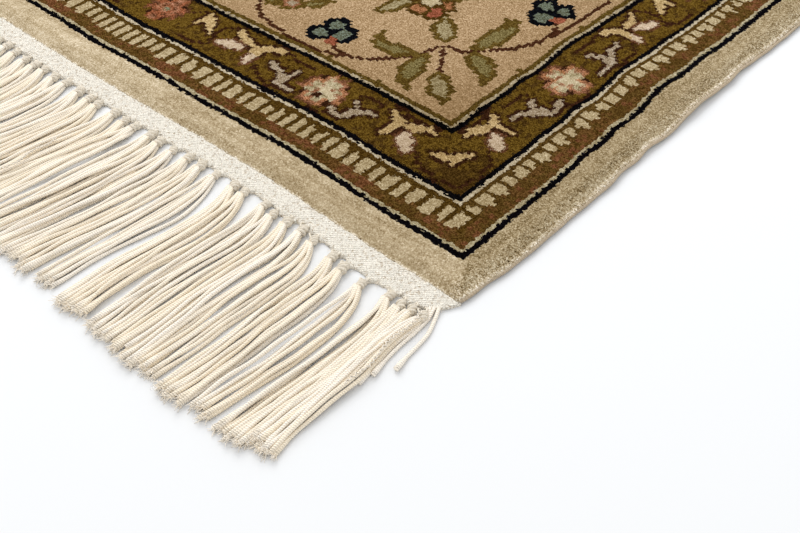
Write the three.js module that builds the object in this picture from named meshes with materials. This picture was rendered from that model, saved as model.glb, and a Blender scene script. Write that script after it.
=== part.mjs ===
// A small hand-knotted rug lying flat: knotted pile, overcast side cords, and a woven
// end web at each end whose warps are gathered into knots and hang out as a fringe.
// Millimetres, +Z up, +Y along the rug, origin under its middle on the floor.

import * as THREE from 'three';
import { mergeVertices } from 'three/addons/utils/BufferGeometryUtils.js';

// Driving dimensions of the cloth
const RUG_WIDTH = 590;
const PILE_LENGTH = 870;
const PILE_HEIGHT = 4.2;
const PILE_RIM_HEIGHT = 3.0;
const PILE_RIM = 2.5;
const GAP = 0.3;
const END_ROUNDING = 2.4;
const END_ROUNDING_REACH = 30;

// Overcast cord along each long side
const CORD_WIDTH = 2.7;
const CORD_HEIGHT = 3.2;
const CORD_SHOULDER = 0.62;

// Woven web at each end
const WEB_DEPTH = 13;
const WEB_HEIGHT = 1.8;
const WEB_INSET_AT_PILE = 3;

// Fringe: warps gathered by overhand knots, each bundle parting into two locks
const RUG_HALF_REACH = 557;
const BUNDLES = 57;
const KNOT_HALF_WIDTH = 3.0;
const KNOT_HEIGHT = 4.3;
const KNOT_SHOULDER = 2.6;
const KNOT_HALF_LENGTH = 2.4;
const KNOT_DROP = 16.6;
const KNOT_DROP_SPREAD = 2.6;
const PITCH_UNEVENNESS = 0.45;
const NEIGHBOUR_GAP = 0.15;
const CROTCH = 0.35;
const KNOT_CROWN_SHARE = 0.4;
const KNOT_MIDDLE = 0.8;
const LOCK_HEIGHT = 3.0;
const LOCK_STEPS = 4;
const LOCK_TIP_WIDTH = 4.3;
const LOCK_TIP_INSET = 7.5;
const LOCK_TOP_SHARE = 0.55;
const LOCK_SWAY = 1.2;
const SWAY_LENGTH = 150;
const TIP_UNEVENNESS = 7;
const FULL_REACH_EVERY = 9;

// Puckers of a long side: distance from the end, how far the edge draws in,
// half the length of the pucker, and how high the edge lifts off the floor
const PUCKERS = [
  { at: 118, inset: 1.2, half: 9, lift: 0.6 },
  { at: 148, inset: 1.8, half: 9, lift: 0.9 },
  { at: 196, inset: 3.6, half: 20, lift: 1.8 },
  { at: 234, inset: 1.6, half: 14, lift: 0.9 },
  { at: 352, inset: 1.4, half: 18, lift: 0.7 },
  { at: 447, inset: 2.2, half: 24, lift: 1.1 },
  { at: 588, inset: 1.5, half: 16, lift: 0.7 },
  { at: 701, inset: 1.9, half: 20, lift: 0.9 },
];
const PUCKER_REACH = 26;
const CLOSEST_STATIONS = 8;

// Bow of a pile end: distance from the nearer long side, and how far the end draws in
const END_BOW = [
  { at: 0, inset: 0 },
  { at: 60, inset: 1.2 },
  { at: 130, inset: 4.2 },
  { at: 180, inset: 4.4 },
  { at: 240, inset: 3.0 },
  { at: 295, inset: 2.4 },
];

// Bundles next to the front right corner: distance of the knot from the long side,
// and its distance from the end of the pile; the others follow at an even pitch
const CORNER_BUNDLES = [
  { at: 12.5, drop: 18.0 },
  { at: 18.6, drop: 18.2 },
  { at: 24.2, drop: 19.3 },
  { at: 31.6, drop: 18.6 },
  { at: 46.0, drop: 21.6 },
  { at: 59.3, drop: 20.3 },
  { at: 67.9, drop: 18.2 },
  { at: 82.3, drop: 16.8 },
  { at: 91.2, drop: 15.6 },
  { at: 100.9, drop: 16.6 },
  { at: 109.9, drop: 17.4 },
  { at: 117.9, drop: 15.5 },
  { at: 132.5, drop: 16.2 },
  { at: 139.9, drop: 16.1 },
  { at: 153.2, drop: 16.6 },
  { at: 164.5, drop: 16.6 },
];

// Two thin warps that slipped the corner knot: tip from the long side, and reach
const LOOSE_ROOT = { at: 9.6, drop: 15.2, half: 1.3, height: 1.8 };
const LOOSE_TIPS = [
  { at: 1.6, reach: 503 },
  { at: 4.2, reach: 511 },
];
const LOOSE_WIDTH = 1.4;

const PILE_HALF_LENGTH = PILE_LENGTH / 2;
const RUG_HALF_WIDTH = RUG_WIDTH / 2;

const PILE_FINISH = { color: 0xa98e68, roughness: 0.95, metalness: 0 };
const CORD_FINISH = { color: 0xb59c78, roughness: 0.9, metalness: 0 };
const FRINGE_FINISH = { color: 0xe6d9c2, roughness: 0.9, metalness: 0 };

// A repeatable number from 0 to 1 for each whole number
function scatter(index) {
  const wave = Math.sin(index * 12.9898 + 4.1) * 43758.5453;
  return wave - Math.floor(wave);
}

function bell(distance, half) {
  return Math.exp(-((distance / half) ** 2));
}

// Reads a column of a table between its rows, which are ordered by their at
function between(rows, at, column) {
  const next = rows.findIndex((row) => row.at > at);
  if (next === -1) {
    return rows[rows.length - 1][column];
  }
  if (next === 0) {
    return rows[0][column];
  }
  const low = rows[next - 1];
  const high = rows[next];
  const share = (at - low.at) / (high.at - low.at);
  return THREE.MathUtils.lerp(low[column], high[column], share);
}

// Distance from the end that a side's table is read from: the right side starts
// at the front end, and the left side is the same edge turned half round
function alongSide(side, y) {
  return side > 0 ? y + PILE_HALF_LENGTH : PILE_HALF_LENGTH - y;
}

function edgeInset(side, y) {
  const along = alongSide(side, y);
  const corner = Math.min(along, PILE_LENGTH - along);
  const rounding = END_ROUNDING * Math.max(0, 1 - corner / END_ROUNDING_REACH) ** 2;
  return PUCKERS.reduce((sum, row) => sum + row.inset * bell(along - row.at, row.half), rounding);
}

function edgeLift(side, y) {
  const along = alongSide(side, y);
  return PUCKERS.reduce((sum, row) => sum + row.lift * bell(along - row.at, row.half), 0);
}

function lift(x, y) {
  const side = Math.sign(x) || 1;
  const fromEdge = RUG_HALF_WIDTH - Math.abs(x);
  return edgeLift(side, y) * Math.max(0, 1 - fromEdge / PUCKER_REACH);
}

// How far the end of the pile lies inside its corners, at a given place across the rug
function endInset(x) {
  return between(END_BOW, RUG_HALF_WIDTH - Math.abs(x), 'inset');
}

// Six times the volume that the faces enclose, negative where they point inwards
function signedVolume(geometry) {
  const position = geometry.getAttribute('position');
  const corners = geometry.getIndex().array;
  const [a, b, c] = [new THREE.Vector3(), new THREE.Vector3(), new THREE.Vector3()];
  let volume = 0;
  for (let index = 0; index < corners.length; index += 3) {
    a.fromBufferAttribute(position, corners[index]);
    b.fromBufferAttribute(position, corners[index + 1]);
    c.fromBufferAttribute(position, corners[index + 2]);
    volume += a.dot(b.cross(c));
  }
  return volume;
}

// Turns every face round where a mirrored placement has turned the solid inside out
function faceOutwards(geometry) {
  if (signedVolume(geometry) > 0) {
    return geometry;
  }
  const corners = Array.from(geometry.getIndex().array);
  geometry.setIndex(corners.reverse());
  return geometry;
}

// Moves every point of a closed three.js geometry and merges the corners it shares
function shaped(geometry, place) {
  const position = geometry.getAttribute('position');
  for (let index = 0; index < position.count; index += 1) {
    const point = place(position.getX(index), position.getY(index), position.getZ(index));
    position.setXYZ(index, point.x, point.y, point.z);
  }
  geometry.deleteAttribute('normal');
  geometry.deleteAttribute('uv');
  return faceOutwards(mergeVertices(geometry, 1e-4));
}

// A closed slab made of the given cells of a grid, each from (column, row) to the next
// column and row; place gives the point of a column and row on the top or the underside
function cellSlab(cells, place) {
  const filled = new Set(cells.map(([column, row]) => `${column} ${row}`));
  const numbers = new Map();
  const points = [];
  const corners = [];
  const pointNumber = (column, row, top) => {
    const key = `${column} ${row} ${top}`;
    if (!numbers.has(key)) {
      numbers.set(key, points.length);
      points.push(place(column, row, top));
    }
    return numbers.get(key);
  };
  const addQuad = (quad) => {
    const [a, b, c, d] = quad.map(([column, row, top]) => pointNumber(column, row, top));
    corners.push(a, b, c, a, c, d);
  };
  const addWall = (empty, [c1, r1], [c2, r2]) => {
    if (!filled.has(empty.join(' '))) {
      addQuad([[c1, r1, false], [c2, r2, false], [c2, r2, true], [c1, r1, true]]);
    }
  };
  cells.forEach(([c, r]) => {
    addQuad([[c, r, true], [c + 1, r, true], [c + 1, r + 1, true], [c, r + 1, true]]);
    addQuad([[c, r, false], [c, r + 1, false], [c + 1, r + 1, false], [c + 1, r, false]]);
    addWall([c, r - 1], [c, r], [c + 1, r]);
    addWall([c + 1, r], [c + 1, r], [c + 1, r + 1]);
    addWall([c, r + 1], [c + 1, r + 1], [c, r + 1]);
    addWall([c - 1, r], [c, r + 1], [c, r]);
  });
  const geometry = new THREE.BufferGeometry().setFromPoints(points);
  geometry.setIndex(corners);
  return faceOutwards(geometry);
}

function part(name, geometry, finish) {
  geometry.computeVertexNormals();
  const mesh = new THREE.Mesh(geometry, new THREE.MeshStandardMaterial(finish));
  mesh.name = name;
  return mesh;
}

// Sorted stations from -half to half: the rims and the given places, none too close
function stations(half, places) {
  const inner = half - PILE_RIM;
  const wanted = places.filter((place) => Math.abs(place) < inner - CLOSEST_STATIONS);
  const sorted = [-inner, ...wanted.sort((a, b) => a - b)];
  const spaced = sorted.filter((place, index) => {
    return index === 0 || place - sorted[index - 1] > CLOSEST_STATIONS;
  });
  return [-half, ...spaced, inner, half];
}

// Along the rug the stations are the feet and tops of both sides' puckers
const ALONG = stations(PILE_HALF_LENGTH, PUCKERS.flatMap((row) => {
  const places = [row.at - row.half, row.at, row.at + row.half];
  return places.flatMap((at) => [at - PILE_HALF_LENGTH, PILE_HALF_LENGTH - at]);
}));

// Across the pile they are the rows of the bow, on both halves
const PILE_HALF_WIDTH = RUG_HALF_WIDTH - CORD_WIDTH - GAP;
const ACROSS = stations(PILE_HALF_WIDTH, END_BOW.slice(1).flatMap((row) => {
  return [RUG_HALF_WIDTH - row.at, row.at - RUG_HALF_WIDTH];
}));

// Knotted pile on its weave: a slab with a lower rim, puckered sides and bowed ends
function pile() {
  const [across, along] = [ACROSS.length - 1, ALONG.length - 1];
  const box = new THREE.BoxGeometry(1, 1, 1, across, along, 1);
  return shaped(box, (u, v, w) => {
    const column = Math.round((u + 0.5) * across);
    const row = Math.round((v + 0.5) * along);
    const [flatX, flatY] = [ACROSS[column], ALONG[row]];
    const drawnX = 1 - edgeInset(Math.sign(flatX) || 1, flatY) / PILE_HALF_WIDTH;
    const drawnY = 1 - endInset(flatX) / PILE_HALF_LENGTH;
    const onRim = column % across === 0 || row % along === 0;
    const top = onRim ? PILE_RIM_HEIGHT : PILE_HEIGHT;
    const height = w > 0 ? top : 0;
    return { x: flatX * drawnX, y: flatY * drawnY, z: height + lift(flatX, flatY) };
  });
}

// Cord overcast to a long side: a flat-bottomed round section carried along the edge
function sideCord(side) {
  const steps = ALONG.length - 1;
  const cord = new THREE.BoxGeometry(1, 1, 1, 2, steps, 1);
  return shaped(cord, (u, v, w) => {
    const y = ALONG[Math.round((v + 0.5) * steps)];
    const crown = u === 0 ? 1 : CORD_SHOULDER;
    const edge = RUG_HALF_WIDTH - edgeInset(side, y);
    const x = side * (edge - CORD_WIDTH / 2) + u * CORD_WIDTH;
    const height = w > 0 ? CORD_HEIGHT * crown : 0;
    return { x, y, z: height + edgeLift(side, y) };
  });
}

// The bundles of one end from the right long side to the left: place across, and drop
function knotRows(end) {
  const measured = end < 0 ? CORNER_BUNDLES : CORNER_BUNDLES.slice(0, 1);
  const first = measured[measured.length - 1].at;
  const last = RUG_WIDTH - CORNER_BUNDLES[0].at;
  const rest = BUNDLES - measured.length;
  const pitch = (last - first) / rest;
  const even = Array.from({ length: rest }, (_, index) => {
    const atEdge = index === rest - 1;
    const shift = atEdge ? 0 : (scatter(index + 31 * end) - 0.5) * PITCH_UNEVENNESS * pitch;
    const drop = KNOT_DROP + (scatter(index + 57 * end) - 0.5) * KNOT_DROP_SPREAD;
    return { at: first + pitch * (index + 1) + shift, drop };
  });
  return [...measured, ...even];
}

// Tips of the locks of one end, evenly spread over the width of the fringe
function lockTips(end) {
  const count = 2 * BUNDLES;
  const tipHalf = RUG_HALF_WIDTH - LOCK_TIP_INSET;
  return Array.from({ length: count }, (_, index) => {
    const short = index % FULL_REACH_EVERY === 4 ? 0 : TIP_UNEVENNESS * scatter(index + 91 * end);
    const x = THREE.MathUtils.lerp(tipHalf, -tipHalf, index / (count - 1));
    return { x, reach: RUG_HALF_REACH - short, width: LOCK_TIP_WIDTH };
  });
}

// Each bundle with its knot's size and its two tips; at the front the loose warps
// are one more bundle, flat and thin, beside the corner knot
function bundles(end) {
  const tips = lockTips(end);
  const knotted = knotRows(end).map((row, index) => ({
    x: RUG_HALF_WIDTH - row.at,
    drop: row.drop,
    half: KNOT_HALF_WIDTH,
    crown: KNOT_HEIGHT,
    shoulder: KNOT_SHOULDER,
    tips: [tips[2 * index], tips[2 * index + 1]],
  }));
  const loose = {
    x: RUG_HALF_WIDTH - LOOSE_ROOT.at,
    drop: LOOSE_ROOT.drop,
    half: LOOSE_ROOT.half,
    crown: LOOSE_ROOT.height,
    shoulder: LOOSE_ROOT.height,
    tips: LOOSE_TIPS.map((row) => ({
      x: RUG_HALF_WIDTH - row.at,
      reach: row.reach,
      width: LOOSE_WIDTH,
    })),
  };
  const all = end < 0 ? [loose, ...knotted] : knotted;
  return all.map((bundle, index) => {
    const before = index > 0 ? all[index - 1].x - bundle.x : 2 * KNOT_HALF_WIDTH + 1;
    const after = index < all.length - 1 ? bundle.x - all[index + 1].x : 2 * KNOT_HALF_WIDTH + 1;
    const room = Math.min(before, after) / 2 - NEIGHBOUR_GAP;
    return { ...bundle, half: Math.min(bundle.half, room), room };
  });
}

// Point of a lock at a share of its length. It lies level on the floor: a four-sided
// section, narrower on top, whose middle goes from root to tip on a slow curve, with a
// sway that neighbours share
function lockPoint(bundle, second, outer, step, top, end) {
  const tip = bundle.tips[second ? 1 : 0];
  const way = second ? -1 : 1;
  const share = step / LOCK_STEPS;
  const ease = share * share * (2 - share);
  const rootWidth = bundle.half - CROTCH;
  const root = bundle.x + way * (CROTCH + rootWidth / 2);
  const phase = (2 * Math.PI * bundle.x) / SWAY_LENGTH;
  const sway = LOCK_SWAY * Math.sin(1.6 * Math.PI * share + phase) * Math.sin(Math.PI * share);
  const narrowing = top && step > 0 ? LOCK_TOP_SHARE : 1;
  const width = THREE.MathUtils.lerp(rootWidth, tip.width, ease) * narrowing;
  const start = PILE_HALF_LENGTH - endInset(bundle.x) + bundle.drop + KNOT_HALF_LENGTH;
  const height = THREE.MathUtils.lerp(bundle.shoulder, Math.min(bundle.crown, LOCK_HEIGHT), ease);
  const x = THREE.MathUtils.lerp(root, tip.x, ease) + sway + (way * (outer ? 1 : -1) * width) / 2;
  const y = end * THREE.MathUtils.lerp(start, tip.reach, share);
  return new THREE.Vector3(x, y, top ? height : 0);
}

// Web, knots and locks of one end as one slab of cells. Rows: 0 along the pile, 1 the
// web's outer edge, 2 the middle of the knots, 3 their feet, and on to the locks' tips.
// Columns: four to a bundle, the two sides of its first lock and of its second
function fringe(end) {
  const all = bundles(end);
  const lastColumn = 4 * all.length - 1;
  const rowOfFeet = 3;
  const cells = [];
  for (let column = 0; column < lastColumn; column += 1) {
    cells.push([column, 0]);
  }
  all.forEach((_, index) => {
    [0, 1, 2].forEach((cell) => cells.push([4 * index + cell, 1], [4 * index + cell, 2]));
    for (let step = 0; step < LOCK_STEPS; step += 1) {
      cells.push([4 * index, rowOfFeet + step], [4 * index + 2, rowOfFeet + step]);
    }
  });
  const widest = all[0].x + all[0].room;
  const spread = (RUG_HALF_WIDTH - WEB_INSET_AT_PILE) / widest;
  return cellSlab(cells, (column, row, top) => {
    const bundle = all[Math.floor(column / 4)];
    const place = column % 4;
    const [second, outer] = [place > 1, place === 0 || place === 3];
    const way = second ? -1 : 1;
    if (row >= rowOfFeet) {
      return lockPoint(bundle, second, outer, row - rowOfFeet, top, end);
    }
    const start = PILE_HALF_LENGTH - endInset(bundle.x);
    if (row === 2) {
      const x = bundle.x + way * (outer ? bundle.half : bundle.half * KNOT_CROWN_SHARE);
      const height = outer ? bundle.shoulder : bundle.crown;
      return new THREE.Vector3(x, end * (start + bundle.drop - KNOT_MIDDLE), top ? height : 0);
    }
    const edge = bundle.x + way * (outer ? bundle.room : bundle.room * KNOT_CROWN_SHARE);
    const x = row === 0 ? edge * spread : edge;
    const y = PILE_HALF_LENGTH - endInset(x) + (row === 0 ? GAP : WEB_DEPTH);
    return new THREE.Vector3(x, end * y, top ? WEB_HEIGHT : 0);
  });
}

const rug = new THREE.Group();
rug.add(part('knotted_pile', pile(), PILE_FINISH));
rug.add(part('side_cord_right', sideCord(1), CORD_FINISH));
rug.add(part('side_cord_left', sideCord(-1), CORD_FINISH));
rug.add(part('front_web_fringe', fringe(-1), FRINGE_FINISH));
rug.add(part('back_web_fringe', fringe(1), FRINGE_FINISH));

export default rug;
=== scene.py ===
"""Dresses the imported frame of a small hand-knotted rug that lies flat.

The file is laid out as an add-on and is run as a script. Lengths are in metres, in the frame's
axes: +Z up from the floor, +Y along the rug, +X across it, origin under its middle. The corner
nearest to the camera is the right front one (+X, -Y). Knots are counted inwards from the
nearest long side and the nearest end, because the design mirrors about both middle lines.
"""

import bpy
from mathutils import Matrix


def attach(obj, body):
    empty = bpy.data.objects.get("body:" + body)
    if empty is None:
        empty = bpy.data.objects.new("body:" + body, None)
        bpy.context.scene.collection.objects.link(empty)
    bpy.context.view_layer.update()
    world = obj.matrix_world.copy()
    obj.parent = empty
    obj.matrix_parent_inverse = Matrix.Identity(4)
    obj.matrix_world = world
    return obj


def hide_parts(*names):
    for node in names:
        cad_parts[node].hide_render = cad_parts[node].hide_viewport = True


bl_info = {
    "name": "Hand-knotted rug",
    "version": (1, 0, 0),
    "blender": (4, 5, 0),
    "location": "View3D > Sidebar > Rug",
    "description": "Knotted pile, overcast side cords, woven end webs and a knotted fringe",
    "category": "Add Mesh",
}

import math

import bmesh
import bpy
import numpy as np
from mathutils import Matrix

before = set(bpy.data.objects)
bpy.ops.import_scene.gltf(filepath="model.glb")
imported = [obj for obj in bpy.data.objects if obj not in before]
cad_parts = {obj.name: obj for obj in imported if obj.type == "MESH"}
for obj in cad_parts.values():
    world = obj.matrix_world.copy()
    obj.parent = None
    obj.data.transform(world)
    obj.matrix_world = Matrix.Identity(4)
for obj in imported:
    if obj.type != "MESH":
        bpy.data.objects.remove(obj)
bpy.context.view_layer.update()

MM = 0.001

# Driving sizes of the cloth, as in the part's source
RUG_WIDTH = 590 * MM
PILE_LENGTH = 870 * MM
PILE_HEIGHT = 4.2 * MM
END_ROUNDING = 2.4 * MM
END_ROUNDING_REACH = 30 * MM
CORD_WIDTH = 2.7 * MM
GAP = 0.1 * MM
WEB_DEPTH = 13 * MM
WEB_HEIGHT = 1.8 * MM
WEB_INSET_AT_PILE = 3 * MM
RUG_HALF_REACH = 557 * MM
BUNDLES = 57
KNOT_HALF_LENGTH = 2.4 * MM
KNOT_DROP = 16.6 * MM
KNOT_DROP_SPREAD = 2.6 * MM
PITCH_UNEVENNESS = 0.45
LOCK_TIP_INSET = 7.5 * MM
LOCK_SWAY = 1.2 * MM
SWAY_LENGTH = 150 * MM
PUCKER_REACH = 26 * MM

RUG_HALF_WIDTH = RUG_WIDTH / 2
PILE_HALF_LENGTH = PILE_LENGTH / 2
PILE_HALF_WIDTH = RUG_HALF_WIDTH - CORD_WIDTH - GAP

# Puckers of a long side in millimetres: distance from the end, how far the edge draws in,
# half the length of the pucker, and how high the edge lifts off the floor
PUCKERS = [
    {"at": 118, "inset": 1.2, "half": 9, "lift": 0.6},
    {"at": 148, "inset": 1.8, "half": 9, "lift": 0.9},
    {"at": 196, "inset": 3.6, "half": 20, "lift": 1.8},
    {"at": 234, "inset": 1.6, "half": 14, "lift": 0.9},
    {"at": 352, "inset": 1.4, "half": 18, "lift": 0.7},
    {"at": 447, "inset": 2.2, "half": 24, "lift": 1.1},
    {"at": 588, "inset": 1.5, "half": 16, "lift": 0.7},
    {"at": 701, "inset": 1.9, "half": 20, "lift": 0.9},
]

# Bow of a pile end in millimetres: distance from the nearer long side, and how far it draws in
END_BOW = [
    {"at": 0, "inset": 0},
    {"at": 60, "inset": 1.2},
    {"at": 130, "inset": 4.2},
    {"at": 180, "inset": 4.4},
    {"at": 240, "inset": 3.0},
    {"at": 295, "inset": 2.4},
]

# Bundles next to the front right corner in millimetres: distance of the knot from the long
# side, and from the end of the pile; the others follow at an even pitch
CORNER_BUNDLES = [
    {"at": 12.5, "drop": 18.0},
    {"at": 18.6, "drop": 18.2},
    {"at": 24.2, "drop": 19.3},
    {"at": 31.6, "drop": 18.6},
    {"at": 46.0, "drop": 21.6},
    {"at": 59.3, "drop": 20.3},
    {"at": 67.9, "drop": 18.2},
    {"at": 82.3, "drop": 16.8},
    {"at": 91.2, "drop": 15.6},
    {"at": 100.9, "drop": 16.6},
    {"at": 109.9, "drop": 17.4},
    {"at": 117.9, "drop": 15.5},
    {"at": 132.5, "drop": 16.2},
    {"at": 139.9, "drop": 16.1},
    {"at": 153.2, "drop": 16.6},
    {"at": 164.5, "drop": 16.6},
]

# Three thin warps that slipped the corner knot, as they lie: distances in millimetres from the
# right long side and from the end of the pile
LOOSE_WARPS = [
    [(10.9, 8.4), (7.9, 15.0), (4.9, 22.6), (3.7, 30.3), (3.0, 38.0), (1.6, 46.5)],
    [(12.6, 9.2), (10.3, 17.4), (9.5, 27.1), (9.3, 36.7), (8.4, 45.6), (6.7, 55.0)],
    [(14.0, 10.4), (10.9, 17.7), (10.9, 25.5), (11.4, 34.4), (10.4, 45.0), (7.9, 62.0)],
]
# Two frayed yarns that run in a zigzag over the warps: from and to, in the same distances
KINKED_YARNS = [
    {"from": (13.4, 17.5), "to": (9.2, 68.0)},
    {"from": (236.0, 48.0), "to": (234.5, 82.0)},
]
# Slant of the web's ends in millimetres: distance from the long side, depth of the web there
WEB_END = [
    {"at": 0.0, "depth": 0.6},
    {"at": 9.4, "depth": 8.0},
    {"at": 10.9, "depth": 9.6},
    {"at": 14.5, "depth": 12.6},
    {"at": 20.0, "depth": 14.0},
]
CORNER_PULL = 0.8 * MM
CORNER_PULL_REACH = 14 * MM

# Where the last knots and the cord are drawn in further than the ground of the pile, in
# millimetres: distance from the end, how far, and half the length of it
EDGE_TUCKS = [
    {"at": 115, "inset": -1.0, "half": 8},
    {"at": 128, "inset": 0.8, "half": 7},
    {"at": 194, "inset": -2.1, "half": 18},
    {"at": 229, "inset": -0.9, "half": 9},
    {"at": 252, "inset": 1.2, "half": 16},
]
TUCK_ALL_ALONG = 2.1 * MM
TUCK_AT_CORNER = 1.6 * MM
CORNER_TUCK_PLACE = 15 * MM
CORNER_TUCK_HALF = 13 * MM
TUCKED_KNOTS = 8

# Where the tips lie in millimetres: distance of a knot from the right side, how much further
# from it the middle of the knot's tips lies, and how far the longest of them reaches from the pile
TIPS = [
    {"at": 10, "drift": -2.5, "reach": 114},
    {"at": 30, "drift": -0.5, "reach": 119},
    {"at": 48, "drift": 0.5, "reach": 121.5},
    {"at": 68, "drift": -3.0, "reach": 121},
    {"at": 134, "drift": -3.0, "reach": 119},
    {"at": 153, "drift": 1.5, "reach": 118},
    {"at": 168, "drift": 6.0, "reach": 118},
    {"at": 210, "drift": 8.0, "reach": 119},
    {"at": 290, "drift": 2.0, "reach": 119},
    {"at": 580, "drift": 1.0, "reach": 118},
]

# Cord of a long side: its stitch, how far the yarn swells under a stitch, half its thickness,
# its height over the floor, and the corners round it
CORD_STITCH = 1.7 * MM
CORD_SWELL = 0.16 * MM
CORD_RADIUS = 0.85 * MM
CORD_LIFT = 0.85 * MM
CORD_SIDES = 10

# Rings below the pile's rim, which lean over the side cord and the start of the web, and those
# of the back: how far out at a side and at an end, then their heights
PILE_WALL = [
    (1.7 * MM, 0.7 * MM, 2.75 * MM, 2.05 * MM),
    (2.3 * MM, 1.5 * MM, 1.95 * MM, 1.55 * MM),
    (1.2 * MM, 0.0, 0.85 * MM, 0.85 * MM),
]
BACK_WALL = [(0, 0, 0.35 * MM, 0.35 * MM), (0, 0, 0.8 * MM, 0.8 * MM)]
RIM_INSET_AT_END = 0.9 * MM
RIM_RAGGEDNESS = 1.0 * MM
RIM_AT_SIDE = 3.1 * MM
RIM_AT_END = 2.3 * MM

# Warps: how many to a bundle, their radius, steps along them by end, and corners round them;
# then the loose ones and the kinked yarns, whose tones are from 0, warm, to 1, cool
STRANDS = 8
STRAND_RADIUS = 1.02 * MM
STRAND_STEPS = {-1: 24, 1: 16}
STRAND_SIDES = 6
LOOSE_RADIUS = 0.92 * MM
LOOSE_TONES = (0.9, 1.0, 0.95)
YARN_RADIUS = 0.38 * MM
YARN_STEPS = 72
YARN_HEIGHT = 4.6 * MM
YARN_TONE = 0.8
# Where the warps of a bundle lie: their spacing in the knot, how soon they fan out, how far and
# how soon they bow, how high the corner bundle lies over its neighbours, and how far bundles
# lean together in clumps, which starts at a distance from the side and grows over a stretch
ROOT_SPACING = 0.36 * MM
FAN_REACH = 13 * MM
BOW = 4.6 * MM
BOW_REACH = 24 * MM
CORNER_OVER = 1.5 * MM
CLUMPING = 2.2 * MM
CLUMPS_FROM = 165 * MM
CLUMPS_RISE = 40 * MM
# Hairs at a cut tip and along a web
HAIRS = 9
HAIR_RADIUS = 0.20 * MM
WEB_HAIRS = 900
WEB_HAIR_RADIUS = 0.10 * MM

# Turns of a knot, from the web outwards: how far along it, their slant and their thickness
KNOT_TURNS = [(1.7 * MM, 0.25, 0.75 * MM), (0.1 * MM, 0.5, 0.95 * MM), (-1.5 * MM, 0.15, 0.75 * MM)]
KNOT_LUMP = (1.75 * MM, 3.1 * MM, 1.6 * MM)
KNOT_TURN_REACH = (1.65 * MM, 1.45 * MM)
KNOT_LEVEL = 2.2 * MM
LOOP_STEPS = 8
LOOP_SIDES = 5
LOOP_RADIUS = 0.5 * MM

# Points of a web between two knots and from the pile outwards, its height at a knot, and how
# much further in it starts than the solid's web
WEB_COLUMNS_A_BUNDLE = 10
WEB_ROWS = 14
WEB_HEIGHT_AT_KNOT = 1.9 * MM
WEB_EXTRA_INSET = 1.7 * MM

# Knots of the pile
KNOT = 2.5 * MM
KNOTS_ACROSS = 236
KNOTS_ALONG = 348
PILE_COLUMNS = KNOTS_ACROSS - 2
HALF_ACROSS = KNOTS_ACROSS // 2
HALF_ALONG = KNOTS_ALONG // 2

# How much brighter than its dye a level surface looks under the stage's light
LIGHT_ON_PILE = 1.36
# Dyes of the pile wool by name, as they look in that light, as sRGB from 0 to 255. A dye's
# number is its place in this order
DYES = {
    "beige": (190, 169, 133),
    "black": (10, 8, 9),
    "straw_line": (166, 151, 116),
    "ivory": (184, 168, 138),
    # The sides' beige is darker than the ends': painted shade of the pile, which leans another way
    # along the sides.
    "shaded_side_beige": (164, 143, 106),
    "rust": (92, 63, 29),
    "bark": (80, 57, 22),
    "brick": (100, 62, 34),
    "tablet": (172, 151, 112),
    "bar": (73, 51, 16),
    "olive": (89, 65, 20),
    "dark_olive": (67, 46, 15),
    "umber": (50, 27, 13),
    "straw": (174, 145, 97),
    "blush": (192, 168, 138),
    "lilac": (156, 136, 108),
    "halo": (90, 55, 33),
    "scarlet": (134, 77, 47),
    "orange": (160, 107, 69),
    "coral_rim": (143, 95, 65),
    "ivory_green": (165, 149, 112),
    "cream": (194, 176, 140),
    "grey_green": (100, 100, 70),
    "tan": (177, 146, 107),
    "moss": (92, 71, 28),
    "sage": (120, 105, 62),
    "pale_sage": (152, 135, 97),
    "vine": (70, 40, 23),
    "coral": (144, 80, 55),
    "slate": (100, 104, 84),
    "ink": (12, 13, 15),
}
DYE_NUMBERS = {name: number for number, name in enumerate(DYES)}
# Runs of dyes whose knots were blurred by wear: the number in the middle of the run, how far
# the others lie from it, and how far a boundary strays, in knots. The rosettes' dyes run from
# halo to grey green, and the ground's from olive to umber
WORN_DYES = [(DYE_NUMBERS["coral_rim"], 3.3, 2.6), (DYE_NUMBERS["dark_olive"], 1.3, 1.5)]

# Bands of the border, by the number of the first knot: along the long sides, then along the ends
SIDE_BANDS = {"outer_line": 8, "tablets": 13, "inner_line": 19, "main": 20, "field_line": 34}
END_BANDS = {"outer_line": 8, "tablets": 13, "inner_line": 20, "main": 21, "field_line": 35}
SIDE_TABLET = {"rows": 4, "first": 16.6}
END_TABLET = {"rows": 5, "first": 16.7}
# Chances that a knot of a tablet is worn away: at its inner corners, at the outer corner after a
# bar and before one, and, where it ends in a tooth, in the outer row and in the next one
INNER_WEAR = 0.12
OUTER_WEAR = (0.4, 0.2)
TOOTH_WEAR = 0.25
SECOND_ROW_WEAR = 0.14
# How many of the worn knots and the bars of a tablet's outer row are tied in rust
RUST_SHARE = 0.6
# The pitch of the tablets strays as the weaver counted on: distance from the corner, and pitch
SIDE_PITCH = [(17, 4.3), (38, 3.4), (46, 3.4), (54, 3.85), (68, 3.9), (76, 4.4), (86, 3.6),
              (174, 3.7)]
END_PITCH = [(17, 3.65), (38, 3.6), (50, 3.15), (72, 3.1), (84, 3.9), (97, 4.0), (110, 3.0),
             (118, 3.3)]
ROSETTE_ALONG_SIDE = 66.5
ROSETTE_ALONG_END = 65
ROSETTE_ACROSS = 7.3
ROSETTE_STEP = 53.5

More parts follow.
